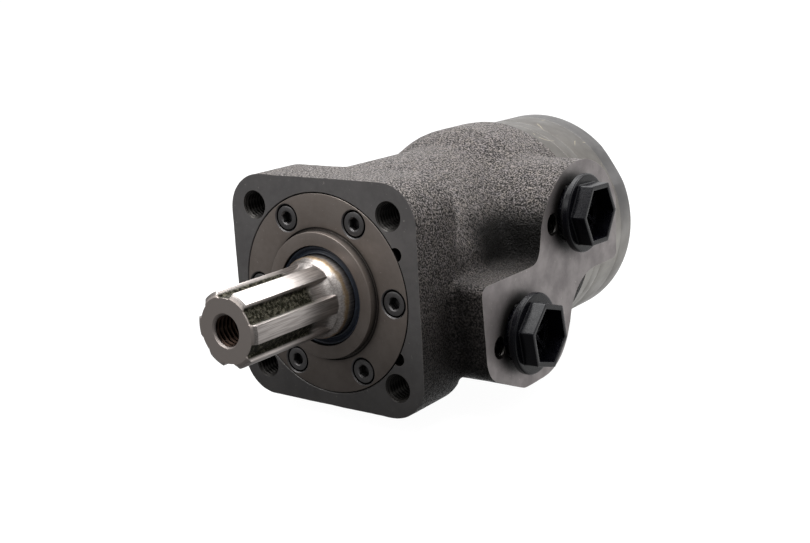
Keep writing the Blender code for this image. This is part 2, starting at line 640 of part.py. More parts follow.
def add_gear_set(materials, base):
    rotor_mesh = finish_mesh("rotor", prism_shape(rotor_outline(), GEAR_START_Y, GEAR_END_Y))
    rotor = mesh_object("rotor", rotor_mesh, materials["gear"], base, eccentric())
    socket = prism_shape(drive_section(DRIVE_CLEARANCE), GEAR_START_Y - MM, GEAR_END_Y + MM)
    tool = cutter("rotor_socket", socket, base)
    tool.location = eccentric()
    combine(rotor, tool, "DIFFERENCE")
    roller = turned_mesh("roller", stepped((ROLLER_RADIUS, GEAR_START_Y, GEAR_END_Y)), SMALL_ROUND)
    roller.materials.append(materials["bearing"])
    roller.shade_smooth()
    roller.set_sharp_from_angle(angle=math.radians(35))
    for number, angle in enumerate(spaced_angles(ROLLERS, FIRST_ROLLER_ANGLE), start=1):
        x, z = polar(ROLLER_CIRCLE, angle)
        mesh_object(f"roller_{number}", roller, None, base, (x, 0, z))


def stator_contour():
    """Inner outline of the stator: a half-round pocket at each roller, a plain arc between."""
    outline = []
    pocket = ROLLER_RADIUS + GAP
    edge = (ROLLER_CIRCLE**2 + STATOR_INNER_RADIUS**2 - pocket**2) / (2 * ROLLER_CIRCLE * STATOR_INNER_RADIUS)
    reach = math.degrees(math.acos(edge))
    pitch = 360.0 / ROLLERS
    for angle in spaced_angles(ROLLERS, FIRST_ROLLER_ANGLE):
        outline += arc(polar(ROLLER_CIRCLE, angle), pocket, angle - 89.0, angle + 89.0, 8)
        outline += arc((0, 0), STATOR_INNER_RADIUS, angle + reach + 1.5, angle + pitch - reach - 1.5, 2)
    return outline


def bolt_holes(start, end, *seat):
    """Clearance holes for the end bolts, with a wider (radius, start, end) seat behind each."""
    holes = bmesh.new()
    outline = stepped((END_BOLT_RADIUS + GAP, start, end), *seat)
    for angle in gap_angles():
        x, z = polar(END_BOLT_CIRCLE, angle)
        turned_shape(outline, SMALL_ROUND, "Y", (x, 0, z), holes)
    return holes


def add_spacer_plate(materials, base):
    start = HOUSING_END_Y + GAP
    end = SPACER_END_Y
    outline = ring_outline(SPOOL_BORE_RADIUS, RIM_RADIUS, start, end)
    plate = add_turned("spacer_plate", outline, materials["ring"], base)
    holes = bolt_holes(start - MM, end + MM)
    for angle in gap_angles():
        x, z = polar(PASSAGE_CIRCLE, angle)
        passage = stepped((PASSAGE_RADIUS, start - MM, end + MM))
        turned_shape(passage, PASSAGE_SIDES, "Y", (x, 0, z), holes)
    combine(plate, cutter("spacer_holes", holes, base), "DIFFERENCE")


def add_stator_ring(materials, base):
    start = SPACER_END_Y + GAP
    outline = stepped((RIM_RADIUS, start, STATOR_END_Y))
    ring = add_turned("stator_ring", outline, materials["ring"], base)
    contour = prism_shape(stator_contour(), start - MM, STATOR_END_Y + MM)
    combine(ring, cutter("stator_contour", contour, base), "DIFFERENCE")
    holes = bolt_holes(start - MM, STATOR_END_Y + MM)
    combine(ring, cutter("stator_holes", holes, base), "DIFFERENCE")


def add_end_cover(materials, base):
    """Rear cover: a recess for the button in front, a turned groove round the middle of its back."""
    front = STATOR_END_Y + GAP
    recess = BUTTON_RADIUS + ECCENTRICITY + BUTTON_SIDE_GAP
    floor = front + BUTTON_THICKNESS + BUTTON_END_GAP
    groove_outer = CENTRE_GROOVE_RADIUS + CENTRE_GROOVE_WIDTH
    groove_floor = BODY_LENGTH - CENTRE_GROOVE_DEPTH
    outline = [(0.0, floor), (recess, floor), (recess, front), (RIM_RADIUS, front),
               (RIM_RADIUS, BODY_LENGTH - END_COVER_CHAMFER),
               (RIM_RADIUS - END_COVER_CHAMFER, BODY_LENGTH), (groove_outer, BODY_LENGTH),
               (groove_outer, groove_floor), (CENTRE_GROOVE_RADIUS, groove_floor),
               (CENTRE_GROOVE_RADIUS, BODY_LENGTH), (0.0, BODY_LENGTH)]
    cover = add_turned("end_cover", outline, materials["end"], base)
    width = RIM_RADIUS / 2
    depth = RIM_RADIUS - MARK_FLAT_DISTANCE + MM
    block = prism_shape([(0.0, -width), (depth, -width), (depth, width), (0.0, width)],
                        front - MM, BODY_LENGTH + MM)
    tool = cutter("marking_flat", block, base)
    x, z = polar(MARK_FLAT_DISTANCE, MARK_FLAT_ANGLE)
    tool.location = (x, 0, z)
    tool.rotation_euler = (0, -math.radians(MARK_FLAT_ANGLE), 0)
    combine(cover, tool, "DIFFERENCE")
    seat = (END_BOLT_SEAT_RADIUS, END_BOLT_SEAT_Y, BODY_LENGTH + MM)
    holes = bolt_holes(front - MM, END_BOLT_SEAT_Y, seat)
    combine(cover, cutter("end_holes", holes, base), "DIFFERENCE")


def add_end_bolts(materials, base):
    """Seven hexagon bolts through the rear stack, each on a copper washer in a sunk seat."""
    washer_y = END_BOLT_SEAT_Y + GAP
    head_y = washer_y + END_WASHER_THICKNESS + GAP
    shank = stepped((END_BOLT_RADIUS, END_BOLT_TIP_Y, head_y + MM))
    ring = ring_outline(END_BOLT_RADIUS + GAP, END_WASHER_RADIUS, washer_y, washer_y + END_WASHER_THICKNESS)
    for number, angle in enumerate(gap_angles(), start=1):
        x, z = polar(END_BOLT_CIRCLE, angle)
        name = f"end_bolt_{number}"
        mesh = turned_mesh(name, shank, SMALL_ROUND)
        bolt = mesh_object(name, mesh, materials["zinc"], base, (x, 0, z))
        outline = hexagon(END_BOLT_FLATS, turn=angle + 30.0)
        head = prism_shape(outline, head_y, head_y + END_BOLT_HEAD_HEIGHT)
        tool = cutter(f"{name}_head", head, base)
        tool.location = (x, 0, z)
        combine(bolt, tool, "UNION")
        washer_name = f"end_washer_{number}"
        washer_mesh = turned_mesh(washer_name, ring, SMALL_ROUND)
        mesh_object(washer_name, washer_mesh, materials["copper"], base, (x, 0, z))


def add_port_plug(letter, materials, base):
    """Hollow plastic screw plug: shank, round flange and a thin-walled hexagon over a star of ribs."""
    y, z = PORT_CENTRES[letter]
    name = f"port_plug_{letter}"
    turn = PLUG_TURNS[letter]
    start, end = PLUG_FLANGE_X
    outline = [(0.0, -PLUG_SHANK_LENGTH), (PLUG_SHANK_RADIUS, -PLUG_SHANK_LENGTH),
               (PLUG_SHANK_RADIUS, start), (PLUG_FLANGE_RADIUS, start),
               (PLUG_FLANGE_RADIUS, end - PLUG_FLANGE_CHAMFER),
               (PLUG_FLANGE_RADIUS - PLUG_FLANGE_CHAMFER, end), (0.0, end)]
    mesh = turned_mesh(name, outline, 32, "X")
    plug = mesh_object(name, mesh, materials["plastic"], base, (PAD_X, y, z))
    inside = PLUG_HEX_FLATS - 2 * PLUG_WALL
    floor = PLUG_SHANK_FLOOR - PLUG_SHANK_LENGTH
    step = PLUG_HEX_FLOOR_X
    tools = (("hex", prism_shape(hexagon(PLUG_HEX_FLATS, turn=turn), step, PLUG_TIP_X, "X"), "UNION"),
             ("well", prism_shape(hexagon(inside, turn=turn), step, PLUG_TIP_X + MM, "X"), "DIFFERENCE"),
             ("shank_well", turned_shape(stepped((PLUG_SHANK_RADIUS - PLUG_WALL, floor, step + MM)), 24, "X"),
              "DIFFERENCE"),
             ("ribs", plug_ribs(turn, PLUG_SHANK_RADIUS - PLUG_WALL / 2, floor - 0.5 * MM), "UNION"))
    for label, shape, operation in tools:
        tool = cutter(f"{name}_{label}", shape, base)
        tool.location = plug.location
        combine(plug, tool, operation)
    seal_end = start - GAP
    ring = ring_outline(PLUG_SHANK_RADIUS + GAP, PLUG_SEAL_RADIUS, seal_end - PLUG_SEAL_THICKNESS, seal_end)
    seal = turned_mesh(f"port_seal_{letter}", ring, HIDDEN_ROUND, "X")
    mesh_object(f"port_seal_{letter}", seal, materials["rubber"], base, (PAD_X, y, z))


def plug_ribs(turn, reach, floor):
    """Thin ribs meeting in the middle of the plug's well, as one star-shaped prism."""
    half = PLUG_RIB_WIDTH / 2
    pitch = 360.0 / PLUG_RIBS
    inner = half / math.sin(math.radians(pitch / 2))
    outline = []
    for arm in spaced_angles(PLUG_RIBS, turn + 30.0):
        along = polar(reach, arm)
        side = polar(half, arm + 90)
        outline.append((along[0] - side[0], along[1] - side[1]))
        outline.append((along[0] + side[0], along[1] + side[1]))
        outline.append(polar(inner, arm + pitch / 2))
    return prism_shape(outline, floor, PLUG_RIB_TOP_X, "X")


def add_drain_plug(materials, base):
    """Steel hexagon-socket plug with a copper washer, closing the drain on the side opposite the ports."""
    place = (DRAIN_FACE_X, DRAIN_Y, 0)
    washer = ring_outline(DRAIN_BORE_RADIUS + GAP, DRAIN_HEAD_RADIUS, -DRAIN_WASHER_THICKNESS, -GAP)
    washer_mesh = turned_mesh("drain_washer", washer, SMALL_ROUND, "X")
    mesh_object("drain_washer", washer_mesh, materials["copper"], base, place)
    front, seat = DRAIN_HEAD_X
    body = stepped((DRAIN_HEAD_RADIUS, front, seat), (DRAIN_BORE_RADIUS - GAP, seat, DRAIN_SHANK_LENGTH))
    plug_mesh = turned_mesh("drain_plug", body, SMALL_ROUND, "X")
    plug = mesh_object("drain_plug", plug_mesh, materials["zinc"], base, place)
    socket = prism_shape(hexagon(DRAIN_SOCKET_FLATS), front - MM, DRAIN_SOCKET_END_X, "X")
    tool = cutter("drain_socket", socket, base)
    tool.location = place
    combine(plug, tool, "DIFFERENCE")


def add_check_balls(materials, base):
    shape = bmesh.new()
    bmesh.ops.create_uvsphere(shape, u_segments=8, v_segments=6, radius=CHECK_BALL_RADIUS)
    ball = finish_mesh("check_ball", shape)
    ball.materials.append(materials["bearing"])
    ball.shade_smooth()
    y = HOUSING_END_Y - CHECK_BALL_RADIUS - CHECK_BALL_LIFT
    for number, angle in enumerate(check_angles(), start=1):
        x, z = polar(CHECK_CIRCLE, angle)
        mesh_object(f"check_ball_{number}", ball, None, base, (x, y, z))


def build_motor():
    clear_scene()
    materials = make_materials()
    base = bpy.data.objects.new("mounting_face_frame", None)
    bpy.context.collection.objects.link(base)
    base.location = (0, -BODY_LENGTH, 0)
    add_housing(materials, base)
    add_front_cover(materials, base)
    add_cover_screws(materials, base)
    add_seals(materials, base)
    add_thrust_bearing(materials, base)
    add_output_shaft(materials, base)
    add_cardan_shaft(materials, base)
    add_cardan_spacer(materials, base)
    add_spacer_plate(materials, base)
    add_stator_ring(materials, base)
    add_gear_set(materials, base)
    add_end_cover(materials, base)
    add_end_bolts(materials, base)
    for letter in PORT_CENTRES:
        add_port_plug(letter, materials, base)
    add_drain_plug(materials, base)
    add_check_balls(materials, base)


build_motor()
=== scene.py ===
"""Looks of the orbital hydraulic motor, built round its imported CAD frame.

Shapes are drawn in millimetres in the motor's own bench frame: the origin is the centre of the
mounting face, X points to the ports, Y runs rearward along the shaft and Z is up. bench_to_row()
turns them into the frame's metres. Every visible CAD node is replaced by a finer piece of the same
size, and the pieces that are sealed inside keep their CAD mesh and get a finished material.
"""
import math

import bmesh
import bpy
import numpy as np
from mathutils import Matrix, Vector, noise


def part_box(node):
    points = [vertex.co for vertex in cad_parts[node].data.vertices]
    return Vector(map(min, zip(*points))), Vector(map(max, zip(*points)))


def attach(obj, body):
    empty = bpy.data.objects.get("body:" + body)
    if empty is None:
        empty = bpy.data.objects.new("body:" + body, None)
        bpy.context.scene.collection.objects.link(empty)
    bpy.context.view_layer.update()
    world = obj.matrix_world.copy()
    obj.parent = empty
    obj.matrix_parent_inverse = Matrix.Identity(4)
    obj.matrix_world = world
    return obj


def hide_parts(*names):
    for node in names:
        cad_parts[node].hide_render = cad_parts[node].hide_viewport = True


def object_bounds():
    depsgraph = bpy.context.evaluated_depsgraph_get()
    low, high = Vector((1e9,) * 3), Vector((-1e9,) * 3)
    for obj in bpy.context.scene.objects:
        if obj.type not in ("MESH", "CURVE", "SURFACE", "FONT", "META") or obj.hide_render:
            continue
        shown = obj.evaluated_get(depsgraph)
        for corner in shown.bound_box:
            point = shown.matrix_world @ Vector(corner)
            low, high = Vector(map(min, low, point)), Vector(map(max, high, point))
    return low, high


MM = 0.001

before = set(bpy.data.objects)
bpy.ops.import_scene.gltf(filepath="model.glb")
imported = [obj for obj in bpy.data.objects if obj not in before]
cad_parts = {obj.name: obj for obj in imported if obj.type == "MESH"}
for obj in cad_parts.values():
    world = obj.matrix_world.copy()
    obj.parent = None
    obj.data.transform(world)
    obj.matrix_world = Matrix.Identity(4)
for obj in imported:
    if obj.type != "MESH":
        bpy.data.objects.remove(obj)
cad_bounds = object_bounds()

MOUNT_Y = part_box("housing")[0].y


def bench(point):
    """A point of the row frame, in millimetres in the bench frame."""
    return Vector((point[0], point[1] - MOUNT_Y, point[2])) / MM


def bench_box(node):
    low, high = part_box(node)
    return bench(low), bench(high)


def bench_centre(node):
    low, high = bench_box(node)
    return (low + high) / 2


def bench_axis(node):
    """Where the axis of a node that lies along Y meets the plane of the mounting face."""
    middle = bench_centre(node)
    return middle.x, 0, middle.z


def bench_to_row():
    return Matrix.Translation((0, MOUNT_Y, 0)) @ Matrix.Scale(MM, 4)


SCREWS = [f"cover_screw_{i}" for i in range(1, 7)]
ROLLERS = [f"roller_{i}" for i in range(1, 8)]
CHECK_BALLS = ["check_ball_1", "check_ball_2"]
BOLTS = [f"end_bolt_{i}" for i in range(1, 8)]
WASHERS = [f"end_washer_{i}" for i in range(1, 8)]

FLANGE_HALF = 40.2
FLANGE_CORNER = 14.0
FLANGE_DEPTH = 23.0
PAD_X = bench_box("housing")[1].x
HOUSING_END = bench_box("housing")[1].y
SPACER_BOX = bench_box("spacer_plate")
STATOR_BOX = bench_box("stator_ring")
COVER_BOX = bench_box("end_cover")
REAR_Y = COVER_BOX[1].y
RIM_RADIUS = COVER_BOX[1].z
COVER_RADIUS = bench_box("front_cover")[1].z
MOUNT_HOLE = 82.55 / 2 / math.sqrt(2)
PORTS = {"a": bench_centre("port_seal_a"), "b": bench_centre("port_seal_b")}
PAD_SCREWS = ((27.3, -19.3), (64.8, 15.6))
SHAFT_TIP = bench_box("output_shaft")[0].y
DRAIN_X = bench_box("drain_washer")[1].x
DRAIN_Y = bench_centre("drain_plug").y
DRAIN_CENTRE = (0, DRAIN_Y, 0)

THREAD_ROWS_PER_TURN = 8
THREAD_SLOPE = 2.4
THREAD_ROOT = 0.7

AXES = {"X": Vector((1, 0, 0)), "Y": Vector((0, 1, 0))}
SIDES = {"X": Vector((0, 1, 0)), "Y": Vector((1, 0, 0))}


# ------------ mesh helpers

def arc(centre, radius, start, end, steps):
    """Points on an arc between two angles in degrees."""
    angles = [math.radians(start + (end - start) * i / steps) for i in range(steps + 1)]
    return [(centre[0] + radius * math.cos(a), centre[1] + radius * math.sin(a)) for a in angles]


def polar(radius, degrees):
    return radius * math.cos(math.radians(degrees)), radius * math.sin(math.radians(degrees))


def spaced(count, first=0.0):
    return [first + 360.0 * i / count for i in range(count)]


def lathe(outline, steps=96, axis="Y", centre=(0, 0, 0)):
    """Spin a closed (radius, distance along the axis) outline round an axis through the centre."""
    shape = bmesh.new()
    middle = Vector(centre)
    verts = [shape.verts.new(middle + SIDES[axis] * r + AXES[axis] * d) for r, d in outline]
    edges = [shape.edges.new((verts[i - 1], verts[i])) for i in range(len(verts))
             if outline[i - 1][0] > 0 or outline[i][0] > 0]
    bmesh.ops.spin(shape, geom=verts + edges, cent=middle, axis=AXES[axis], steps=steps,
                   angle=2 * math.pi, use_merge=True)
    return shape


def tube(inner, outer, start, end):
    """The lathe outline of a plain ring."""
    return [(inner, start), (outer, start), (outer, end), (inner, end)]


def rod(radius, start, end):
    return tube(0.0, radius, start, end)


def skin(rings):
    """Join closed rings of as many points each, one to the next, and cap both ends."""
    shape = bmesh.new()
    loops = [[shape.verts.new(point) for point in ring] for ring in rings]
    for front, rear in zip(loops, loops[1:]):
        for i in range(len(front)):
            shape.faces.new((front[i - 1], front[i], rear[i], rear[i - 1]))
    shape.faces.new(loops[0])
    shape.faces.new(loops[-1])
    return shape


def prism(outline, start, end, axis="Y"):
    """Extrude a flat outline: (x, z) points along Y, or (y, z) points along X."""
    if axis == "Y":
        rings = [[(a, level, b) for a, b in outline] for level in (start, end)]
    else:
        rings = [[(level, a, b) for a, b in outline] for level in (start, end)]
    return skin(rings)


def box_shape(low, high):
    outline = [(low[0], low[2]), (high[0], low[2]), (high[0], high[2]), (low[0], high[2])]
    return prism(outline, low[1], high[1])


def threaded_rod(minor, major, pitch, start, end, axis="Y", centre=(0, 0, 0), around=40):
    """A solid rod with a helical thread between two distances along its axis."""
    along, side = AXES[axis], SIDES[axis]
    third = along.cross(side)
    rows = max(2, round((end - start) / pitch * THREAD_ROWS_PER_TURN))
    rings = []
    for row in range(rows + 1):
        level = start + (end - start) * row / rows
        middle = Vector(centre) + along * level
        ring = []
        for column in range(around):
            turn = column / around
            phase = (level / pitch - turn) % 1.0
            flank = min(1.0, max(0.0, THREAD_SLOPE * abs(2 * phase - 1) - THREAD_ROOT))
            radius = minor + (major - minor) * flank
            angle = 2 * math.pi * turn
            ring.append(middle + side * radius * math.cos(angle) + third * radius * math.sin(angle))
        rings.append(ring)
    return skin(rings)


def to_mesh(shape, name):
    bmesh.ops.remove_doubles(shape, verts=shape.verts, dist=1e-4)
    bmesh.ops.recalc_face_normals(shape, faces=shape.faces)
    mesh = bpy.data.meshes.new(name)
    shape.to_mesh(mesh)
    shape.free()
    return mesh


def add_object(name, mesh):
    thing = bpy.data.objects.new(name, mesh)
    bpy.context.scene.collection.objects.link(thing)
    return thing


def baked(thing):
    """Apply an object's modifiers, and leave it with the resulting mesh."""
    bpy.context.view_layer.update()
    graph = bpy.context.evaluated_depsgraph_get()
    mesh = bpy.data.meshes.new_from_object(thing.evaluated_get(graph), depsgraph=graph)
    thing.modifiers.clear()
    thing.data = mesh
    return thing


def combine(thing, shape, operation, material=None):
    """Join a closed shape to a working object, or cut it away; the cut takes the material."""
    return combine_object(thing, add_object("tool", to_mesh(shape, "tool")), operation, material)


def combine_object(thing, tool, operation, material=None):
    """As combine(), with a tool that is already an object; the tool is used up."""
    if material is not None:
        tool.data.materials.clear()
        tool.data.materials.append(material)
    modifier = thing.modifiers.new("combine", "BOOLEAN")
    modifier.operation = operation
    modifier.solver = "MANIFOLD"
    modifier.object = tool
    if material is not None and material.name not in thing.data.materials:
        thing.data.materials.append(material)
    baked(thing)
    bpy.data.objects.remove(tool)
    return thing


def cut(thing, shape, paint=None):
    """Cut a closed shape away from a working object."""
    return combine(thing, shape, "DIFFERENCE", paint)


def cut_bore(thing, radius, start, end, centre, paint=None, axis="Y", steps=24):
    """Cut a plain round hole between two distances along its axis."""
    return cut(thing, lathe(rod(radius, start, end), steps, axis, centre), paint)


def finish_piece(thing, body, nodes, angle=32.0):
    """Scale a bench-frame object to the row frame, smooth its shading, attach it to its body and hide the
    CAD nodes it replaces.
    """
    thing.data.transform(bench_to_row())
    thing.data.shade_smooth()
    thing.data.set_sharp_from_angle(angle=math.radians(angle))
    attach(thing, body)
    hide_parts(*nodes)
    return thing


def solid(name, shape, material):
    """A working object of one material, still in the bench frame."""
    thing = add_object(name, to_mesh(shape, name))
    thing.data.materials.append(material)
    return thing


def piece(name, shape, material, body, nodes):
    return finish_piece(solid(name, shape, material), body, nodes)


def rounded(points, radius=0.25, steps=3):
    """Round every corner of a closed outline, as a fine file would."""
    result = []
    count = len(points)
    for i, point in enumerate(points):
        here = Vector(point)
        before = Vector(points[i - 1]) - here
        after = Vector(points[(i + 1) % count]) - here
        reach = min(radius, before.length * 0.4, after.length * 0.4)
        on_axis = point[0] <= 0
        if on_axis or reach < 0.02 or abs(before.normalized().cross(after.normalized())) < 0.2:
            result.append(tuple(point))
            continue
        start = here + before.normalized() * reach
        end = here + after.normalized() * reach
        for step in range(steps + 1):
            t = step / steps
            spot = start * (1 - t) ** 2 + here * 2 * t * (1 - t) + end * t ** 2
            result.append((spot.x, spot.y))
    return result


# ------------ material helpers

class Shading:
    """Adds nodes to a shader tree and wires them up."""

    def __init__(self, tree):
        self.tree = tree

    def node(self, kind, inputs=(), **settings):
        made = self.tree.nodes.new(kind)
        for key, value in settings.items():
            setattr(made, key, value)
        for key, value in dict(inputs).items():
            if isinstance(value, bpy.types.NodeSocket):
                self.tree.links.new(value, made.inputs[key])
            else:
                made.inputs[key].default_value = value
        return made

    def math(self, operation, first, second=0.0):
        return self.node("ShaderNodeMath", {0: first, 1: second}, operation=operation).outputs[0]

    def product(self, first, *others):
        """Multiply numbers and sockets together."""
        for other in others:
            first = self.math("MULTIPLY", first, other)
        return first

    def ramp(self, value, low, high, start=0.0, end=1.0):
        """Smooth step of a value from start to end as it runs from low to high."""
        inputs = {"Value": value, "From Min": low, "From Max": high, "To Min": start, "To Max": end}
        made = self.node("ShaderNodeMapRange", inputs, interpolation_type="SMOOTHSTEP")
        return made.outputs["Result"]

    def mix(self, factor, first, second):
        """Mix two colours, given as (red, green, blue) or as sockets."""
        inputs = {0: factor}
        for index, colour in ((6, first), (7, second)):
            inputs[index] = (*colour, 1.0) if isinstance(colour, tuple) else colour
        return self.node("ShaderNodeMix", inputs, data_type="RGBA").outputs[2]


class Paint(Shading):
    """One material under construction, built round its Principled BSDF."""

    def __init__(self, name, metallic=0.0):
        self.material = bpy.data.materials.new(name)
        self.material.use_nodes = True
        super().__init__(self.material.node_tree)
        self.shader = self.tree.nodes["Principled BSDF"]
        self.shader.inputs["Metallic"].default_value = metallic
        self.place = self.node("ShaderNodeTexCoord").outputs["Object"]

    def link(self, value, socket):
        self.tree.links.new(value, self.shader.inputs[socket])

    def noise(self, size_mm, detail=2.0, roughness=0.5, distortion=0.0, place=None):
        """Noise between 0 and 1 whose lumps are about size_mm across."""
        inputs = {"Vector": place or self.place, "Scale": 1 / (size_mm * MM), "Detail": detail,
                  "Roughness": roughness, "Distortion": distortion}
        return self.node("ShaderNodeTexNoise", inputs).outputs["Fac"]

    def stretched(self, x, y, z):
        """The object's coordinates, scaled along each axis."""
        inputs = {0: self.place, 1: (x, y, z)}
        return self.node("ShaderNodeVectorMath", inputs, operation="MULTIPLY").outputs[0]

    def axis(self, name):
        return self.node("ShaderNodeSeparateXYZ", {0: self.place}).outputs[name]

    def along(self, low, high, place=None):
        """Smooth step along Y, between two distances in mm from the mounting face."""
        return self.ramp(place or self.axis("Y"), MOUNT_Y + low * MM, MOUNT_Y + high * MM)

    def height(self, low, high, start, end):
        """Smooth step up Z, between two heights in mm above the shaft's axis."""
        return self.ramp(self.axis("Z"), low * MM, high * MM, start, end)

    def radius(self):
        """Distance from the shaft's axis, in metres."""
        flat = self.stretched(1, 0, 1)
        return self.node("ShaderNodeVectorMath", {0: flat}, operation="LENGTH").outputs["Value"]

    def worn_edges(self, width_mm, low=0.02, high=0.25):
        """1 on sharp edges and 0 on the faces between them."""
        bevel = self.node("ShaderNodeBevel", {"Radius": width_mm * MM}, samples=6).outputs[0]
        normal = self.node("ShaderNodeNewGeometry").outputs["Normal"]
        dot = self.node("ShaderNodeVectorMath", {0: bevel, 1: normal}, operation="DOT_PRODUCT")
        bend = self.math("SUBTRACT", 1.0, dot.outputs["Value"])
        return self.ramp(bend, low, high)

    def shade(self, distance_mm, low=0.3, high=1.0):
        """0 deep in corners and 1 in the open."""
        made = self.node("ShaderNodeAmbientOcclusion", {"Distance": distance_mm * MM}, samples=8)
        return self.ramp(made.outputs["AO"], low, high)

    def finish(self, colour, rough, *layers):
        """Set colour, roughness and (height socket, depth in mm) layers of bump, one on the other."""
        self.link(colour, "Base Color")
        self.link(rough, "Roughness")
        normal = None
        for height, depth in layers:
            inputs = {"Height": height, "Distance": depth * MM}
            if normal is not None:
                inputs["Normal"] = normal
            normal = self.node("ShaderNodeBump", inputs).outputs["Normal"]
        self.link(normal, "Normal")
        return self.material


TOOL_MARK_MM = 0.25
WAVES_PER_UNIT = 20
HOLLOW_START = 30.0
HOLLOW_FLOOR = 4.0
HOLLOW_TOP = 24.0


def cast_iron():
    """Sand-cast skin: coarse dark grain with pale sparkling peaks, with painted shade in hollows and
    towards the bottom.
    """
    paint = Paint("cast_iron_skin")
    paint.shader.inputs["Specular IOR Level"].default_value = 0.08
    grain = paint.noise(0.62, detail=2.5, roughness=0.6)
    coarse = paint.noise(1.9)
    cloud = paint.noise(18.0, detail=3.0)
    peaks = paint.ramp(grain, 0.40, 0.68)
    dark = paint.mix(cloud, (0.010, 0.0095, 0.010), (0.018, 0.0165, 0.0145))
    pale = paint.mix(paint.noise(2.5), (0.262, 0.229, 0.196), (0.212, 0.194, 0.208))
    colour = paint.mix(peaks, dark, pale)
    # Painted shade: the colour darkens towards the bottom, in corners and in the hollow under the rear
    # port boss.
    low = paint.height(-26.0, 38.0, 0.14, 1.0)
    shade = paint.product(paint.shade(16.0, 0.40, 0.98), low, painted_hollow_shade(paint))
    colour = paint.mix(shade, (0.003, 0.0028, 0.0025), colour)
    rough = paint.ramp(grain, 0.35, 0.65, 0.58, 0.26)
    return paint.finish(colour, rough, (coarse, 0.34), (grain, 0.95))


def painted_hollow_shade(paint):
    """Painted shade: 0 in the hollow under the rear port boss, and 1 elsewhere."""
    edge_wobble = paint.product(paint.noise(7.0), 5.0 * MM)
    height = paint.math("ADD", paint.axis("Z"), edge_wobble)
    front = paint.along(HOLLOW_START, HOLLOW_START + 14.0)
    side = paint.ramp(paint.axis("X"), 12.0 * MM, 24.0 * MM)
    low = paint.ramp(height, (HOLLOW_FLOOR - 1.0) * MM, (HOLLOW_FLOOR + 5.0) * MM)
    top = paint.ramp(height, (HOLLOW_TOP + 5.0) * MM, (HOLLOW_TOP - 6.0) * MM)
    return paint.math("SUBTRACT", 1.0, paint.product(front, side, low, top, 0.95))


def milled_iron(name, dark, light, roughness=0.42, edge=(0.42, 0.40, 0.37), shade_reach_mm=4.0, painted_light_at_bottom=0.40):
    """A machined iron face: fine tool marks, faint stains, small nicks, bright worn edges, and painted
    shade in corners and towards the bottom.
    """
    paint = Paint(name, metallic=0.7)
    stains = paint.noise(9.0, detail=4.0, roughness=0.6)
    marks = {"Vector": paint.place, "Scale": 1 / (TOOL_MARK_MM * MM) / WAVES_PER_UNIT,
             "Distortion": 1.5, "Detail": 2.0, "Detail Scale": 2.0}
    rings = paint.node("ShaderNodeTexWave", marks, wave_type="RINGS", rings_direction="Y").outputs["Fac"]
    colour = paint.mix(paint.ramp(stains, 0.3, 0.7), dark, light)
    nicks = paint.ramp(paint.noise(1.3, detail=3.0, roughness=0.7, distortion=0.6), 0.67, 0.72)
    wear = paint.product(paint.worn_edges(0.35), paint.ramp(paint.noise(3.0), 0.30, 0.55))
    bright = paint.math("MAXIMUM", wear, nicks)
    # Painted shade: the face darkens towards the bottom and in corners and recesses.
    low = paint.height(-45.0, 15.0, painted_light_at_bottom, 1.0)
    clean = paint.product(low, paint.shade(shade_reach_mm, 0.35, 0.92))
    colour = paint.mix(clean, (0.008, 0.007, 0.006), paint.mix(bright, colour, edge))
    rough = paint.ramp(stains, 0.3, 0.7, roughness + 0.06, roughness - 0.06)
    return paint.finish(colour, rough, (rings, 0.004), (paint.noise(0.35), 0.006))


def turned_iron(name, dark, light, varnish=True):
    """A turned rim: fine rings round the shaft's axis, thin curved lines of dried varnish, painted shade
    towards the top and a painted reflection towards the bottom.
    """
    paint = Paint(name, metallic=0.75)
    rings = paint.noise(0.22, place=paint.stretched(0.02, 1.0, 0.02))
    stains = paint.noise(11.0, detail=3.0, roughness=0.55)
    colour = paint.mix(paint.ramp(stains, 0.3, 0.7), dark, light)
    # Painted shade: darker towards the top of the rim.
    colour = paint.mix(paint.height(0.0, RIM_RADIUS, 0.0, 0.60), colour, (0.03, 0.028, 0.026))
    # Painted reflection: lighter towards the bottom of the rim.
    colour = paint.mix(paint.height(12.0, -12.0, 0.0, 0.7), colour, (0.36, 0.345, 0.32))
    if varnish:
        field = paint.noise(17.0, detail=0.6, distortion=0.3)
        line = paint.ramp(paint.math("ABSOLUTE", paint.math("SUBTRACT", field, 0.53)), 0.006, 0.001)
        broken = paint.ramp(paint.noise(5.0), 0.46, 0.62, 0.0, 0.75)
        colour = paint.mix(paint.product(line, broken), colour, (0.46, 0.40, 0.29))
    wear = paint.product(paint.worn_edges(0.4), 0.6)
    colour = paint.mix(wear, colour, (0.42, 0.40, 0.37))
    rough = paint.ramp(stains, 0.3, 0.7, 0.50, 0.36)
    return paint.finish(colour, rough, (rings, 0.006), (paint.noise(0.5), 0.004))


def black_oxide():
    """Blackened screws, rubbed bright grey on the rim of the head, with painted shade in the socket and
    corners.
    """
    paint = Paint("black_oxide_screws", metallic=0.8)
    grime = paint.noise(1.1, detail=3.0)
    wear = paint.product(paint.worn_edges(0.30), 0.5)
    face = paint.mix(grime, (0.085, 0.082, 0.084), (0.15, 0.145, 0.145))
    # Painted shade: darker in the socket and in corners.
    face = paint.mix(paint.shade(2.5, 0.35, 0.9), (0.006, 0.006, 0.007), face)
    colour = paint.mix(wear, face, (0.40, 0.38, 0.36))
    return paint.finish(colour, paint.ramp(grime, 0.3, 0.7, 0.5, 0.34), (paint.noise(0.4), 0.008))


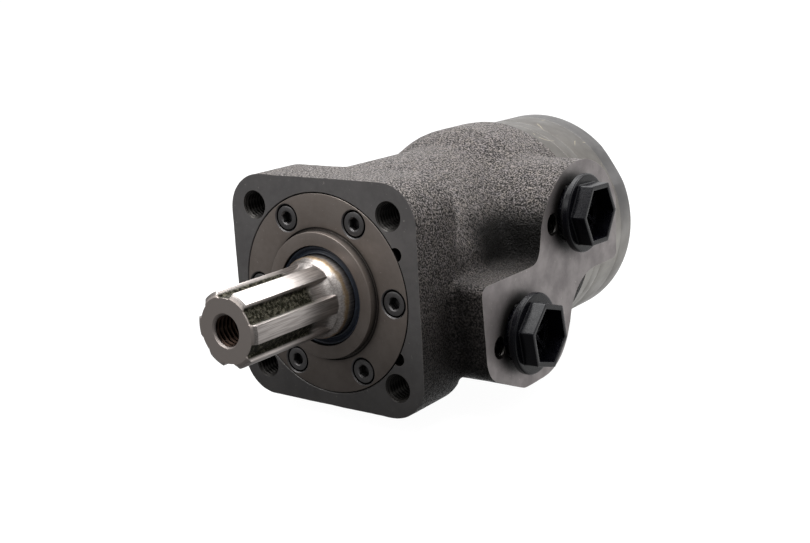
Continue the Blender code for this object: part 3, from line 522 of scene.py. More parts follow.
def shaft_steel():
    """Ground spline steel: bright lands, greasy olive specks in the valleys, rust at the journal."""
    paint = Paint("greased_shaft_steel", metallic=1.0)
    streaks = paint.noise(0.35, place=paint.stretched(1.0, 0.03, 1.0))
    tint = paint.noise(7.0)
    steel = paint.mix(tint, (0.43, 0.393, 0.372), (0.52, 0.484, 0.463))
    dull = paint.mix(tint, (0.27, 0.244, 0.230), (0.35, 0.323, 0.309))
    steel = paint.mix(paint.ramp(streaks, 0.40, 0.62), dull, steel)
    radius = paint.radius()
    valley = paint.product(paint.ramp(radius, 12.2 * MM, 11.2 * MM),
                           paint.ramp(radius, 8.0 * MM, 9.0 * MM))
    specks = paint.ramp(paint.noise(1.2, detail=5.0, roughness=0.75, distortion=0.5), 0.44, 0.66)
    grease = paint.mix(specks, (0.010, 0.010, 0.0065), (0.12, 0.112, 0.085))
    dirt = paint.product(valley, paint.along(-47.85, -46.9), paint.along(-13.0, -19.0))
    colour = paint.mix(dirt, steel, grease)
    face = paint.along(-47.1, -47.6)
    colour = paint.mix(face, colour, (0.38, 0.339, 0.317))
    wobble = paint.product(paint.noise(3.0), 2.2 * MM)
    place = paint.math("SUBTRACT", paint.axis("Y"), wobble)
    ring = paint.product(paint.along(-7.6, -6.6, place), paint.along(-4.9, -5.6, place))
    rust = paint.mix(paint.noise(0.8), (0.10, 0.045, 0.02), (0.40, 0.30, 0.16))
    colour = paint.mix(paint.product(ring, 0.8), colour, rust)
    # Painted shade: the inside of the centre hole is painted dark brown.
    hole = paint.product(paint.ramp(radius, 5.9 * MM, 5.5 * MM), paint.along(-47.7, -46.8))
    colour = paint.mix(hole, colour, (0.040, 0.026, 0.020))
    rough = paint.ramp(dirt, 0.0, 1.0, 0.36, 0.55)
    rough = paint.math("ADD", rough, paint.product(paint.math("MAXIMUM", ring, face), 0.18))
    sludge = paint.product(specks, dirt)
    return paint.finish(colour, rough, (streaks, 0.003), (sludge, 0.07))


def plain_steel(name, first, second, roughness):
    """Ground or plated steel with a faint mottle and grinding lines."""
    paint = Paint(name, metallic=1.0)
    mottle = paint.noise(4.0, detail=3.0)
    rough = paint.ramp(mottle, 0.3, 0.7, roughness + 0.07, roughness - 0.05)
    lines = paint.noise(0.5, place=paint.stretched(1.0, 0.1, 1.0))
    return paint.finish(paint.mix(mottle, first, second), rough, (lines, 0.004))


def rubber(name, clean, dusty):
    """Moulded rubber under a patchy film of dust."""
    paint = Paint(name)
    dust = paint.noise(1.2, detail=4.0, roughness=0.7)
    colour = paint.mix(paint.ramp(dust, 0.5, 0.75), clean, dusty)
    return paint.finish(colour, paint.ramp(dust, 0.3, 0.7, 0.36, 0.55), (dust, 0.03))


def plastic():
    """Glossy black moulded plastic with a bluish cast, scuffed pale along the edges."""
    paint = Paint("black_moulded_plastic")
    paint.shader.inputs["Specular IOR Level"].default_value = 0.20
    scuffs = paint.noise(0.8, detail=3.0, distortion=1.2)
    wear = paint.product(paint.worn_edges(0.25, 0.04, 0.30), paint.ramp(scuffs, 0.25, 0.55))
    colour = paint.mix(wear, (0.0012, 0.0012, 0.0026), (0.075, 0.075, 0.088))
    rough = paint.ramp(scuffs, 0.3, 0.7, 0.22, 0.36)
    return paint.finish(colour, rough, (paint.noise(6.0, detail=1.0), 0.05), (paint.noise(0.4), 0.003))


def make_materials():
    return {
        "cast": cast_iron(),
        "flange": milled_iron("milled_flange_face", (0.160, 0.153, 0.153), (0.215, 0.206, 0.204)),
        # The pad gets a wide painted shadow round the plugs and is painted lighter towards its bottom.
        "pad": milled_iron("milled_pad_face", (0.205, 0.186, 0.186), (0.280, 0.256, 0.252),
                           roughness=0.48, shade_reach_mm=9.0, painted_light_at_bottom=1.35),
        "cover": milled_iron("ground_cover_face", (0.215, 0.183, 0.163), (0.270, 0.234, 0.212),
                             edge=(0.42, 0.38, 0.35)),
        "band": turned_iron("turned_rear_band", (0.125, 0.115, 0.103), (0.180, 0.168, 0.152)),
        "end": turned_iron("turned_end_cover", (0.115, 0.112, 0.112), (0.165, 0.16, 0.16), varnish=False),
        # Bores and threads are painted much darker than the milled faces: oiled steel under painted shade
        # inside the holes.
        "thread": milled_iron("oiled_thread_steel_painted_shade", (0.022, 0.020, 0.019), (0.045, 0.042, 0.039),
                              roughness=0.34, edge=(0.13, 0.12, 0.115), shade_reach_mm=8.0),
        "screw": black_oxide(),
        "shaft": shaft_steel(),
        "bearing": plain_steel("polished_bearing_steel", (0.62, 0.61, 0.59), (0.70, 0.69, 0.67), 0.18),
        "gear": plain_steel("ground_gear_steel", (0.42, 0.41, 0.39), (0.52, 0.50, 0.48), 0.28),
        "zinc": plain_steel("zinc_plated_steel", (0.46, 0.44, 0.38), (0.58, 0.55, 0.48), 0.36),
        "copper": plain_steel("soft_copper", (0.50, 0.24, 0.14), (0.62, 0.32, 0.20), 0.36),
        "rubber": rubber("blue_black_rubber", (0.004, 0.009, 0.020), (0.030, 0.040, 0.058)),
        # The port seals get a darker copy of the rubber: painted shade under the plug flanges.
        "seal": rubber("seal_rubber_painted_shade", (0.002, 0.002, 0.003), (0.008, 0.008, 0.010)),
        "plastic": plastic(),
    }


# ------------ the casting

CAST_VOXEL = 0.85
PAD_ROOT = 22.0
PAD_FILLET = 1.2
MACHINING_STOCK = 2.5
BORE_RADIUS = 19.8
CHAMBER_RADIUS = 25.8
GALLERY_RADIUS = 22.6
FILL_INTERVAL = 5
LEAST_PULL = 0.004

# Lumps of the cast skin: (size across, depth).
SKIN_LUMPS = ((14.0, 0.16), (2.6, 0.07))
REAR_LUMPS = (9.0, 0.30)
REAR_START = 104.0
REAR_FADE = 6.0
REAR_LUMP_SHIFT = Vector((7.1, 0.3, 2.2))

# Distances that clear the housing, for the cutting shapes.
FAR = 80.0
PAST_REAR = 130.0

# Tapped holes: (minor radius, major radius, pitch, depth).
MOUNT_THREAD = (4.25, 4.95, 1.5, 17.0)
PAD_THREAD = (3.4, 3.95, 1.25, 12.0)

PORT_PITCH = 1.814
NOTCH_ANGLES = (28.0, -32.0)
NOTCH_CIRCLE = 35.6
NOTCH_RADIUS = 2.4
SCREW_HOLE = 2.8
BOLT_HOLE = 3.3
DRAIN_HOLE = 6.6
CHECK_HOLE = 3.2


def flange_outline():
    """The square flange with its rounded corners, in (x, z)."""
    reach = FLANGE_HALF - FLANGE_CORNER
    outline = []
    for x, z, start in ((1, 1, 0), (-1, 1, 90), (-1, -1, 180), (1, -1, 270)):
        outline += arc((x * reach, z * reach), FLANGE_CORNER, start, start + 90, 12)
    return outline


def pad_outline():
    """Outline of the port pad in (y, z): a round rear lobe above a smaller front lobe."""
    points = arc((85.3, 4.6), 31.0, 158, 22, 30)
    points += arc((111.7, -4.6), 2.3, 0, -90, 6)
    points += arc((95.0, -26.2), 19.4, 90, 172, 12)
    points += arc((56.0, -18.5), 20.0, -14, -92, 16)
    points += arc((44.0, -28.8), 9.8, -90, -122, 5)
    points += arc((29.0, -21.5), 10.5, -122, -175, 8)
    points += arc((20.0, 0.7), 3.0, 178, 90, 6)
    points += arc((50.0, 8.7), 5.0, -90, -10, 8)
    return points


def grown(outline, margin):
    """An outline pushed outward by a margin at every point."""
    result = []
    for i, here in enumerate(outline):
        before, after = Vector(outline[i - 1]), Vector(outline[(i + 1) % len(outline)])
        along = (after - before).normalized()
        result.append((here[0] - along.y * margin, here[1] + along.x * margin))
    return result


def vertex_rows(mesh, attribute):
    """A vector of every vertex, such as its place or normal, as rows of three numbers."""
    values = np.empty(len(mesh.vertices) * 3)
    mesh.vertices.foreach_get(attribute, values)
    return values.reshape(-1, 3)


def move_vertices(mesh, points):
    mesh.vertices.foreach_set("co", points.ravel())
    mesh.update()


def smooth_casting(mesh, fill_rounds, even_rounds):
    """Fill inner corners to wide fillets first, then soften the outer corners a little."""
    points = vertex_rows(mesh, "co")
    count = len(points)
    edges = np.empty(len(mesh.edges) * 2, dtype=np.int64)
    mesh.edges.foreach_get("vertices", edges)
    first, second = edges.reshape(-1, 2).T
    degree = np.bincount(np.concatenate((first, second)), minlength=count)[:, None]
    for step in range(fill_rounds + even_rounds):
        total = np.stack([np.bincount(first, points[second, k], count)
                          + np.bincount(second, points[first, k], count) for k in range(3)], axis=1)
        pull = total / degree - points
        if step < fill_rounds:
            if step % FILL_INTERVAL == 0:
                move_vertices(mesh, points)
                outward = vertex_rows(mesh, "normal")
            amount = np.einsum("ij,ij->i", pull, outward)
            pull = np.where(amount[:, None] > LEAST_PULL, pull, 0.0)
        points = points + 0.5 * pull
    move_vertices(mesh, points)


def roughen_casting(mesh):
    """Push the skin in and out by slow waves and small lumps, as sand moulds leave it."""
    points = vertex_rows(mesh, "co")
    heights = np.empty(len(points))
    rear_size, rear_depth = REAR_LUMPS
    for index, spot in enumerate(points):
        place = Vector(spot)
        rear = max(0.0, min(1.0, (place.y - REAR_START) / REAR_FADE))
        heights[index] = sum(noise.noise(place / size) * depth for size, depth in SKIN_LUMPS)
        heights[index] += rear * noise.noise(place / rear_size + REAR_LUMP_SHIFT) * rear_depth
    move_vertices(mesh, points + vertex_rows(mesh, "normal") * heights[:, None])


def raw_casting(cast):
    """The casting before machining: barrel, flange, port pad and drain boss grown together."""
    stock = MACHINING_STOCK
    barrel = [(0.0, 16.0), (40.2, 16.0), (40.2, 73.0), (43.0, 79.0), (45.3, 87.0), (45.3, 107.0),
              (44.3, 110.5), (43.5, 114.0), (43.25, HOUSING_END + 3.0), (0.0, HOUSING_END + 3.0)]
    casting = solid("housing_casting", lathe(barrel, 128), cast)
    combine(casting, prism(flange_outline(), -stock, FLANGE_DEPTH), "UNION")
    combine(casting, prism(pad_outline(), PAD_ROOT, PAD_X + stock, "X"), "UNION")
    boss = lathe([(0.0, -22.0), (11.8, -22.0), (11.0, DRAIN_X - stock), (0.0, DRAIN_X - stock)],
                 48, "X", DRAIN_CENTRE)
    combine(casting, boss, "UNION")
    remesh = casting.modifiers.new("skin", "REMESH")
    remesh.mode = "VOXEL"
    remesh.voxel_size = CAST_VOXEL
    baked(casting)
    smooth_casting(casting.data, fill_rounds=34, even_rounds=4)
    roughen_casting(casting.data)
    return casting


def tapped_hole(casting, centre, axis, sign, size, thread):
    """Drill, chamfer and tap a blind hole of (minor, major, pitch, depth) from a machined face."""
    minor, major, pitch, depth = size
    drill = [(0.0, -1.0), (major + 0.15, -1.0), (major + 0.15, 0.0), (major - 0.3, 0.45), (minor, 1.0),
             (minor, depth + 1.0), (0.0, depth + 1.0 + minor * 0.6)]
    cut(casting, lathe([(radius, sign * level) for radius, level in drill], 40, axis, centre), thread)
    start, end = sorted((sign * 0.3, sign * depth))
    cut(casting, threaded_rod(minor - 0.05, major, pitch, start, end, axis, centre), thread)


def cut_faces(casting, paints):
    """Mill the flange's, the pad's, the rear and the drain boss's faces, and turn the rear rim."""
    blocks = (((-FAR, -20, -FAR), (FAR, 0, FAR), "flange"),
              ((PAD_X, -20, -FAR), (FAR, 160, FAR), "pad"),
              ((-FAR, HOUSING_END, -FAR), (FAR, 160, FAR), "band"),
              ((-FAR, DRAIN_Y - 20, -20), (DRAIN_X, DRAIN_Y + 20, 20), "pad"))
    for low, high, paint in blocks:
        cut(casting, box_shape(low, high), paints[paint])
    rim = lathe(tube(RIM_RADIUS, 60.0, 107.0, PAST_REAR), 160)
    lathe_path = add_object("lathe_path", to_mesh(rim, "lathe_path"))
    cut(lathe_path, prism(grown(pad_outline(), PAD_FILLET), PAD_ROOT, 70.0, "X"))
    combine_object(casting, lathe_path, "DIFFERENCE", paints["band"])


def cut_chamber(casting, paint):
    """Turn the cover's recess, the bearing chamber and the spool bore with a gallery at each port."""
    outline = [(0.0, -2.0), (35.55, -2.0), (35.55, 0.0), (35.25, 0.35), (35.25, 10.3),
               (CHAMBER_RADIUS, 10.3), (CHAMBER_RADIUS, 30.0), (BORE_RADIUS, 30.0)]
    for port in PORTS.values():
        outline += [(BORE_RADIUS, port.y - 5.0), (GALLERY_RADIUS, port.y - 5.0),
                    (GALLERY_RADIUS, port.y + 5.0), (BORE_RADIUS, port.y + 5.0)]
    outline += [(BORE_RADIUS, 140.0), (0.0, 140.0)]
    cut(casting, lathe(outline, 144), paint)


def cut_port(casting, port, thread):
    """Drill a port through to the spool bore, and tap its mouth."""
    centre = (0, port.y, port.z)
    drill = [(0.0, 17.0), (5.5, 17.0), (5.5, PAD_X - 15.0), (10.3, PAD_X - 15.0), (10.3, PAD_X - 0.9),
             (11.1, PAD_X), (11.1, PAD_X + 2.0), (0.0, PAD_X + 2.0)]
    cut(casting, lathe(drill, 64, "X", centre), thread)
    tap = threaded_rod(10.25, 10.9, PORT_PITCH, PAD_X - 13.0, PAD_X - 0.5, "X", centre, around=64)
    cut(casting, tap, thread)


def machine_casting(casting, paints):
    """Cut every machined surface of the housing into the raw casting."""
    thread = paints["thread"]
    cut_faces(casting, paints)
    cut_chamber(casting, paints["flange"])
    for port in PORTS.values():
        cut_port(casting, port, thread)
    for x in (-MOUNT_HOLE, MOUNT_HOLE):
        for z in (-MOUNT_HOLE, MOUNT_HOLE):
            tapped_hole(casting, (x, 0, z), "Y", 1, MOUNT_THREAD, thread)
    for y, z in PAD_SCREWS:
        tapped_hole(casting, (PAD_X, y, z), "X", -1, PAD_THREAD, thread)
    for angle in NOTCH_ANGLES:
        x, z = polar(NOTCH_CIRCLE, angle)
        cut_bore(casting, NOTCH_RADIUS, -1.0, 3.0, (x, 0, z), thread, steps=32)
    for node in SCREWS:
        cut_bore(casting, SCREW_HOLE, 9.0, 21.0, bench_axis(node), thread)
    for node in BOLTS:
        cut_bore(casting, BOLT_HOLE, 103.0, PAST_REAR, bench_axis(node), thread)
    cut_bore(casting, DRAIN_HOLE, DRAIN_X - 1.0, DRAIN_X + 14.0, DRAIN_CENTRE, thread, "X", 32)
    for node in CHECK_BALLS:
        cut_bore(casting, CHECK_HOLE, 107.0, PAST_REAR, bench_axis(node), thread)


def add_housing(paints):
    casting = raw_casting(paints["cast"])
    machine_casting(casting, paints)
    finish_piece(casting, "body", ["housing"], angle=40.0)


# ------------ front cover and its screws

def add_front_cover(paints):
    """A disc with a raised pilot ring, and a sunk well for each screw."""
    outline = [(15.2, 2.0), (17.5, 2.0), (17.5, -2.8), (22.2, -2.8), (22.2, 0.6), (23.3, 0.6),
               (23.3, 0.0), (COVER_RADIUS, 0.0), (COVER_RADIUS, 10.0), (25.3, 10.0), (25.3, 12.0),
               (23.8, 12.0), (23.8, 14.0), (20.5, 14.0), (20.5, 4.0), (15.2, 4.0)]
    cover = solid("front_cover_ring", lathe(rounded(outline, 0.35), 160), paints["cover"])
    well = [(0.0, -2.0), (5.1, -2.0), (5.1, 0.0), (4.75, 0.35), (4.75, 5.5), (SCREW_HOLE, 5.5),
            (SCREW_HOLE, 12.0), (0.0, 12.0)]
    for node in SCREWS:
        cut(cover, lathe(well, 48, "Y", bench_axis(node)), paints["screw"])
    finish_piece(cover, "body", ["front_cover"])


def hexagon(flats, centre=(0, 0), turn=0.0):
    radius = flats / math.sqrt(3)
    corners = [polar(radius, turn + 60.0 * i) for i in range(6)]
    return [(centre[0] + x, centre[1] + z) for x, z in corners]


def add_cover_screws(paints):
    """Cap screws with a rounded head and a chamfered hexagon socket, each turned its own way."""
    outline = [(0.0, 0.2), (3.75, 0.2), (4.1, 0.35), (4.25, 0.7), (4.25, 5.2), (2.5, 5.2), (2.5, 20.0),
               (0.0, 20.0)]
    mouth = [(0.0, -0.5), (2.5, -0.5), (2.5, 0.2), (1.9, 0.8), (0.0, 0.8)]
    for number, node in enumerate(SCREWS):
        centre = bench_axis(node)
        screw = solid(f"cap_{node}", lathe(outline, 72, "Y", centre), paints["screw"])
        cut(screw, lathe(mouth, 48, "Y", centre))
        cut(screw, prism(hexagon(4.0, centre[::2], 12.0 + 17.0 * number), -1.0, 3.0))
        finish_piece(screw, "body", [node])


def add_seals(paints):
    """The dust wiper round the shaft and the ring under each port plug's flange."""
    wiper = [(14.6, -1.7), (15.1, -1.5), (15.7, -0.9), (16.2, -1.4), (16.6, -1.9), (17.2, -1.9),
             (17.2, 1.7), (15.5, 1.7)]
    piece("dust_wiper_lip", lathe(rounded(wiper, 0.2), 120), paints["rubber"], "body",
          ["dust_wiper"])
    for letter, port in PORTS.items():
        low, high = bench_box(f"port_seal_{letter}")
        radius = (high.y - low.y) / 2
        ring = tube(10.4, radius, low.x, high.x)
        piece(f"port_seal_ring_{letter}", lathe(rounded(ring, 0.5, 4), 72, "X", (0, port.y, port.z)),
              paints["seal"], f"plug_{letter}_seal", [f"port_seal_{letter}"])


# ------------ shaft

SPLINE_TIP = 12.7
SPLINE_ROOT = 10.55
SPLINE_HALF_WIDTH = 3.125
HALF_TOOTH = 30.0
VALLEY_END = -15.5
RUN_OUT = 7.2
RUN_OUT_STEPS = 8
JOURNAL_RADIUS = 14.28
SPOOL_RADIUS = 19.5
GROOVE_RADIUS = 17.3


def spline_ring(level, tip, root):
    """One section of the six-tooth spline, with lands, flat flanks and filleted valleys."""
    tip_angle = math.degrees(math.asin(min(1.0, SPLINE_HALF_WIDTH / tip)))
    root_angle = math.degrees(math.asin(min(1.0, SPLINE_HALF_WIDTH / root)))
    soft = min(0.35, (tip - root) * 0.3)
    land = [(tip, share * (tip_angle - 0.6)) for share in (-1.0, -0.66, -0.33, 0.0, 0.33, 0.66, 1.0)]
    flank = [(tip - 0.12 * (tip - root), tip_angle + 0.1),
             (tip - 0.5 * (tip - root), (tip_angle + root_angle) / 2),
             (root + soft, root_angle * 0.98 + tip_angle * 0.02),
             (root + soft * 0.3, root_angle + 0.6)]
    valley = [(root, root_angle + (HALF_TOOTH - root_angle) * share)
              for share in (0.16, 0.4, 0.7, 1.0, 1.3, 1.6, 1.84)]
    next_flank = [(radius, 2 * HALF_TOOTH - angle) for radius, angle in reversed(flank)]
    ring = []
    for tooth in spaced(6):
        for radius, offset in land + flank + valley + next_flank:
            x, z = polar(radius, tooth + offset)
            ring.append((x, level, z))
    return ring


def add_shaft(paints):
    """Splined shaft with its spool: teeth chamfered at the tip, valleys run out into the journal."""
    tip, root = SPLINE_TIP, SPLINE_ROOT
    chamfer = [(0.0, tip - 1.7, root + 0.1), (0.35, tip - 1.3, root), (1.15, tip - 0.1, root),
               (1.35, tip, root)]
    rings = [spline_ring(SHAFT_TIP + level, outer, inner) for level, outer, inner in chamfer]
    rings.append(spline_ring(VALLEY_END, tip, root))
    for step in range(1, RUN_OUT_STEPS + 1):
        share = step / RUN_OUT_STEPS
        rise = (tip - root) * (1 - math.sqrt(1 - (0.98 * share) ** 2))
        rings.append(spline_ring(VALLEY_END + RUN_OUT * share, tip, root + rise))
    levels = [(tip + 0.02, -8.0), (tip + 0.25, -7.3), (JOURNAL_RADIUS - 0.25, -5.9),
              (JOURNAL_RADIUS, -5.4), (JOURNAL_RADIUS, 22.0), (23.5, 22.0), (23.5, 27.0),
              (SPOOL_RADIUS, 27.0)]
    for port in PORTS.values():
        front, rear = port.y - 4.0, port.y + 4.0
        levels += [(SPOOL_RADIUS, front), (GROOVE_RADIUS, front), (GROOVE_RADIUS, rear),
                   (SPOOL_RADIUS, rear)]
    levels.append((SPOOL_RADIUS, 114.0))
    around = spaced(len(rings[0]), -SPLINE_HALF_WIDTH)
    for radius, level in levels:
        rings.append([(x, level, z) for x, z in (polar(radius, angle) for angle in around)])
    shaft = solid("splined_shaft", skin(rings), paints["shaft"])
    mouth = [(0.0, SHAFT_TIP - 1.0), (5.8, SHAFT_TIP - 1.0), (5.8, SHAFT_TIP), (5.2, SHAFT_TIP + 0.7),
             (4.95, SHAFT_TIP + 0.7), (4.95, SHAFT_TIP + 24.0), (0.0, SHAFT_TIP + 26.5)]
    cut(shaft, lathe(mouth, 56))
    cut(shaft, threaded_rod(4.9, 5.6, 1.75, SHAFT_TIP + 0.5, SHAFT_TIP + 22.0))
    bore = [(0.0, 60.0), (11.9, 60.0), (11.9, 80.0), (15.5, 80.0), (15.5, 116.0), (0.0, 116.0)]
    cut(shaft, lathe(bore, 72))
    finish_piece(shaft, "shaft", ["output_shaft"], angle=28.0)


# ------------ port plugs

PLUG_TURNS = {"a": -17.0, "b": -2.6}
PLUG_SIDE_POINTS = 10
PLUG_FLATS = 21.4
PLUG_WALL = 1.75
PLUG_WELL = 7.7
RIB_REACH = 9.6
RIB_HALF = 0.55


def hexagon_ring(level, flats, turn, centre, corner):
    """A hexagon with rounded corners as a ring of points across X."""
    reach = flats / 2 - corner
    ring = []
    for side in spaced(6, turn):
        x, z = polar(reach / math.cos(math.radians(30)), side)
        for step in range(PLUG_SIDE_POINTS):
            angle = side - 30.0 + 60.0 * step / (PLUG_SIDE_POINTS - 1)
            dx, dz = polar(corner, angle)
            ring.append((level, centre.y + x + dx, centre.z + z + dz))
    return ring


def circle_ring(level, radius, turn, centre):
    """A circle whose points stand opposite those of the hexagon rings."""
    ring = []
    for side in spaced(6, turn):
        for step in range(PLUG_SIDE_POINTS):
            dy, dz = polar(radius, side - 30.0 + 60.0 * (step + 0.5) / PLUG_SIDE_POINTS)
            ring.append((level, centre.y + dy, centre.z + dz))
    return ring


def add_port_plug(letter, paints):
    """Hollow screw plug moulded in one piece: threaded shank, stepped flange, hexagon cup and ribs."""
    centre = PORTS[letter]
    turn = PLUG_TURNS[letter]
    inner = PLUG_FLATS - 2 * PLUG_WALL

    def disc(radius, height):
        return circle_ring(PAD_X + height, radius, turn, centre)

    def cup(flats, height, corner):
        return hexagon_ring(PAD_X + height, flats, turn, centre, corner)

    rings = [disc(8.6, -10.0), disc(9.3, -9.3), disc(9.3, 3.8), disc(14.1, 3.8), disc(14.3, 4.0),
             disc(14.3, 5.55), disc(14.1, 5.75), disc(14.0, 5.95), disc(13.8, 6.05), disc(13.4, 6.1),
             cup(PLUG_FLATS + 0.5, 6.1, 1.0), cup(PLUG_FLATS, 6.4, 0.9), cup(PLUG_FLATS, 11.2, 0.9),
             cup(PLUG_FLATS - 0.2, 11.42, 0.8), cup(PLUG_FLATS - 0.6, 11.5, 0.7),
             cup(inner + 0.5, 11.5, 0.5), cup(inner + 0.1, 11.4, 0.45), cup(inner, 11.1, 0.4),
             cup(inner, 4.8, 0.4), disc(7.6, 4.8), disc(7.6, -8.5)]
    plug = solid(f"moulded_port_plug_{letter}", skin(rings), paints["plastic"])
    middle = (0, centre.y, centre.z)
    # The well is filled while the thread is joined on, so that the thread meets a solid shank.
    core = lathe(rod(PLUG_WELL, PAD_X - 8.6, PAD_X + 3.8), 60, "X", middle)
    thread = threaded_rod(9.2, 10.1, PORT_PITCH, PAD_X - 9.4, PAD_X + 3.4, "X", middle, around=64)
    combine(plug, core, "UNION")
    combine(plug, thread, "UNION")
    cut_bore(plug, PLUG_WELL, PAD_X - 8.4, PAD_X + 5.2, middle, axis="X", steps=60)
    combine(plug, rib_star(centre, turn), "UNION")
    finish_piece(plug, f"plug_{letter}", [f"port_plug_{letter}"], angle=30.0)


def rib_star(centre, turn):
    """Six thin ribs that meet in the middle of the plug's well."""
    outline = []
    for arm in spaced(6, turn + 30.0):
        tip, side = Vector(polar(RIB_REACH, arm)), Vector(polar(RIB_HALF, arm + 90.0))
        inner = Vector(polar(2 * RIB_HALF, arm + 30.0))
        for spot in (tip - side, tip + side, inner):
            outline.append((centre.y + spot.x, centre.z + spot.y))
    return prism(outline, PAD_X - 9.2, PAD_X + 5.4, "X")


# ------------ rear stack

JOINT = 0.04
BOLT_SEAT = 6.3
BOLT_SEAT_DEPTH = 3.0
BOLT_FLATS = 10.0
MARK_FLAT = 42.25
MARK_ANGLE = 34.0


def drilled(name, outline, paint, cuts, node):
    """A turned ring or disc of the rear stack, with shapes cut out of it."""
    ring = solid(name, lathe(rounded(outline, 0.12), 160), paint)
    for shape in cuts:
        cut(ring, shape)
    return finish_piece(ring, "body", [node])


def bolt_bores(start, end, *seat):
    """Clearance holes for the end bolts, from start to end and on through the seat's points."""
    last = seat[-1][1] if seat else end
    outline = [(0.0, start), (BOLT_HOLE, start), (BOLT_HOLE, end), *seat, (0.0, last)]
    return [lathe(outline, 40, "Y", bench_axis(node)) for node in BOLTS]


def add_rear_stack(paints):
    """Spacer plate, stator ring and end cover, close together as the bolts pull them."""
    start, end = HOUSING_END + JOINT, SPACER_BOX[1].y
    plate = tube(15.5, RIM_RADIUS, start, end)
    drilled("spacer_plate_ring", plate, paints["band"], bolt_bores(HOUSING_END - 1, end + 1),
            "spacer_plate")
    start, end = end + JOINT, STATOR_BOX[1].y
    cuts = [prism(stator_contour(), start - 1, end + 1), *bolt_bores(start - 1, end + 1)]
    drilled("stator_roller_ring", rod(RIM_RADIUS, start, end), paints["band"], cuts,
            "stator_ring")
    add_end_cover(paints, end + JOINT)


def stator_contour():
    """Half-round roller pockets joined by plain arcs."""
    circle, pocket, inside = 30.5, 6.3, 31.2
    reach = math.degrees(math.acos((circle**2 + inside**2 - pocket**2) / (2 * circle * inside)))
    outline = []
    for angle in spaced(len(ROLLERS), 90.0):
        outline += arc(polar(circle, angle), pocket, angle - 89, angle + 89, 20)
        outline += arc((0, 0), inside, angle + reach + 1.5, angle + 360 / len(ROLLERS) - reach - 1.5, 4)
    return outline


def add_end_cover(paints, front):
    """The closed end disc, with a turned groove, a flat on its rim and a sunk seat for each bolt."""
    inside = front + 4.3
    outline = [(0.0, inside), (11.0, inside), (11.0, front), (RIM_RADIUS, front),
               (RIM_RADIUS, REAR_Y - 0.8), (RIM_RADIUS - 0.8, REAR_Y), (26.6, REAR_Y),
               (26.6, REAR_Y - 0.6), (25.4, REAR_Y - 0.6), (25.4, REAR_Y), (0.0, REAR_Y)]
    block = box_shape((MARK_FLAT, front - 1, -RIM_RADIUS / 2), (60.0, REAR_Y + 1, RIM_RADIUS / 2))
    turn = Matrix.Rotation(-math.radians(MARK_ANGLE), 3, "Y")
    bmesh.ops.rotate(block, verts=block.verts, matrix=turn)
    floor = REAR_Y - BOLT_SEAT_DEPTH
    bores = bolt_bores(front - 1, floor, (BOLT_SEAT, floor), (BOLT_SEAT, REAR_Y + 1))
    drilled("end_cover_disc", outline, paints["end"], [block, *bores], "end_cover")


def hexagon_head(name, paint, centre, start, end, turn):
    """A bolt head, cut from hexagon bar with its corners turned down at the outer end."""
    head = solid(name, prism(hexagon(BOLT_FLATS, centre[::2], turn), start, end), paint)
    wide, face = BOLT_FLATS / math.sqrt(3) + 1, BOLT_FLATS / 2 - 0.3
    crown = [(0.0, start - 1), (wide, start - 1), (wide, end - 1.1), (face, end + 0.05),
             (0.0, end + 0.05)]
    return combine(head, lathe(crown, 72, "Y", centre), "INTERSECT")


def add_copper_washer(name, outline, steps, axis, centre, paints, node):
    piece(name, lathe(rounded(outline, 0.3), steps, axis, centre), paints["copper"], "body",
          [node])


def add_end_bolts(paints):
    """Hexagon bolts through the rear stack, each on a copper washer."""
    for node, washer in zip(BOLTS, WASHERS):
        centre = bench_axis(node)
        low, high = bench_box(washer)
        start, end = high.y + JOINT, bench_box(node)[1].y
        turn = math.degrees(math.atan2(centre[2], centre[0])) + 30.0
        bolt = hexagon_head(f"hexagon_{node}", paints["zinc"], centre, start, end, turn)
        shank = rod(BOLT_HOLE - 0.3, 104.0, start + 1.0)
        combine(bolt, lathe(shank, 40, "Y", centre), "UNION")
        finish_piece(bolt, "body", [node])
        ring = tube(BOLT_HOLE, (high.x - low.x) / 2, low.y - 0.2, high.y)
        add_copper_washer(f"copper_{washer}", ring, 56, "Y", centre, paints, washer)


def add_drain_plug(paints):
    """A flanged plug with a hexagon socket, on a copper washer."""
    x = DRAIN_X
    ring = tube(6.9, 8.8, x - 1.5, x - 0.05)
    add_copper_washer("copper_drain_washer", ring, 64, "X", DRAIN_CENTRE, paints, "drain_washer")
    outline = [(0.0, x - 5.0), (7.9, x - 5.0), (8.8, x - 4.2), (8.8, x - 1.6), (6.3, x - 1.6),
               (6.3, x + 9.4), (5.7, x + 10.0), (0.0, x + 10.0)]
    plug = solid("socket_drain_plug", lathe(outline, 72, "X", DRAIN_CENTRE), paints["zinc"])
    mouth = [(0.0, x - 6.0), (3.9, x - 6.0), (3.9, x - 5.0), (3.1, x - 4.3), (0.0, x - 4.3)]
    cut(plug, lathe(mouth, 48, "X", DRAIN_CENTRE))
    cut(plug, prism(hexagon(6.0, (DRAIN_Y, 0)), x - 6.0, x + 1.0, "X"))
    finish_piece(plug, "body", ["drain_plug"])


def paint_inner_nodes(paints):
    """The CAD pieces that stay: only their material changes."""
    chosen = dict.fromkeys(["shaft_seal", "cover_o_ring"], "rubber")
    chosen |= dict.fromkeys(["cardan_shaft", "cardan_spacer", "rotor"], "gear")
    chosen |= dict.fromkeys(["thrust_washer_front", "thrust_washer_rear", "thrust_needle_cage",
                             *CHECK_BALLS, *ROLLERS], "bearing")
    for node, paint in chosen.items():
        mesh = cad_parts[node].data
        mesh.materials.clear()
        mesh.materials.append(paints[paint])


# ------------ stage

CAMERA_DISTANCE = 409.76
CAMERA_AZIMUTH = 36.86
CAMERA_ELEVATION = 13.9
CAMERA_ROLL = -3.18
CAMERA_SHIFT = (27.56, 7.78)
CAMERA_LENS = 53.33


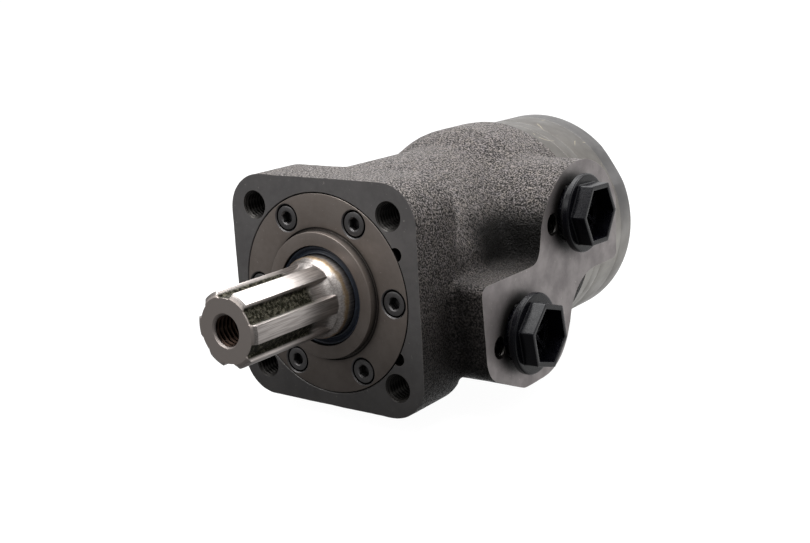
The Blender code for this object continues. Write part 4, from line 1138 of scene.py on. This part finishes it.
def add_camera():
    """Camera in front of the port side, a little above and slightly rolled."""
    turn = (Matrix.Rotation(math.radians(CAMERA_AZIMUTH), 4, "Z")
            @ Matrix.Rotation(math.radians(90.0 - CAMERA_ELEVATION), 4, "X")
            @ Matrix.Rotation(math.radians(CAMERA_ROLL), 4, "Z"))
    place = turn @ Vector((*CAMERA_SHIFT, CAMERA_DISTANCE))
    camera = bpy.data.objects.new("camera", bpy.data.cameras.new("camera"))
    camera.data.lens = CAMERA_LENS
    camera.data.clip_start = 0.01
    camera.matrix_world = Matrix.Translation(bench_to_row() @ place) @ turn
    bpy.context.scene.collection.objects.link(camera)
    bpy.context.scene.camera = camera


def add_area_light(name, place, target, size, power):
    data = bpy.data.lights.new(name, "AREA")
    data.shape = "RECTANGLE"
    data.size, data.size_y = size
    data.energy = power
    light = bpy.data.objects.new(name, data)
    light.location = place
    light.rotation_euler = (Vector(target) - Vector(place)).to_track_quat("-Z", "Y").to_euler()
    bpy.context.scene.collection.objects.link(light)


FLOOR_REACH = 40.0
FLOOR_RISE = 10.0
SKY_LOW = 0.20
SKY_HIGH = 0.9
BACKDROP = 0.8
FLOOR_GLOW = 0.97
FLOOR_GAP = 0.0002


def add_floor():
    """A pale floor, rising far away, that the camera sees but that throws no light at the motor."""
    shape = bmesh.new()
    bmesh.ops.create_grid(shape, x_segments=3, y_segments=3, size=FLOOR_REACH)
    for vert in shape.verts:
        if max(abs(vert.co.x), abs(vert.co.y)) > FLOOR_REACH / 2:
            vert.co.z = FLOOR_RISE
    floor = add_object("floor", to_mesh(shape, "floor"))
    floor.location = (0, 0, cad_bounds[0][2] - FLOOR_GAP)
    floor.visible_diffuse = False
    floor.visible_glossy = False
    paint = Paint("pale_floor")
    for socket, value in (("Base Color", (0.08, 0.08, 0.08, 1)), ("Roughness", 0.9),
                          ("Emission Color", (1, 1, 1, 1)), ("Emission Strength", FLOOR_GLOW)):
        paint.shader.inputs[socket].default_value = value
    floor.data.materials.append(paint.material)


def add_world():
    """Studio surroundings: bright above and behind the motor, dim in front and below."""
    world = bpy.data.worlds.new("studio")
    world.use_nodes = True
    shading = Shading(world.node_tree)
    direction = shading.node("ShaderNodeTexCoord").outputs["Generated"]
    height = shading.node("ShaderNodeSeparateXYZ", {0: direction}).outputs["Z"]
    toward_back = shading.node("ShaderNodeVectorMath", {0: direction, 1: (0.15, 0.99, 0.0)},
                               operation="DOT_PRODUCT").outputs["Value"]
    above = shading.ramp(height, 0.0, 0.85, SKY_LOW, SKY_HIGH)
    backdrop = shading.product(shading.ramp(toward_back, 0.0, 0.8, 0.0, BACKDROP),
                            shading.ramp(height, -0.95, -0.35))
    strength = shading.math("ADD", above, backdrop)
    background = world.node_tree.nodes["Background"]
    world.node_tree.links.new(strength, background.inputs["Strength"])
    background.inputs["Color"].default_value = (1, 1, 1, 1)
    bpy.context.scene.world = world


def add_stage():
    add_floor()
    add_world()
    middle = (0.0, MOUNT_Y / 2, 0.0)
    add_area_light("overhead_softbox", (0.0, -0.02, 0.70), middle, (0.7, 0.9), 13.0)
    add_area_light("front_fill", (-0.45, -0.85, 0.55), middle, (0.5, 0.4), 1.9)


def add_motor(paints):
    add_housing(paints)
    add_front_cover(paints)
    add_cover_screws(paints)
    add_seals(paints)
    add_shaft(paints)
    for letter in PORTS:
        add_port_plug(letter, paints)
    add_rear_stack(paints)
    add_end_bolts(paints)
    add_drain_plug(paints)
    paint_inner_nodes(paints)


add_camera()
add_motor(make_materials())
add_stage()
bpy.context.scene.view_settings.view_transform = "Standard"
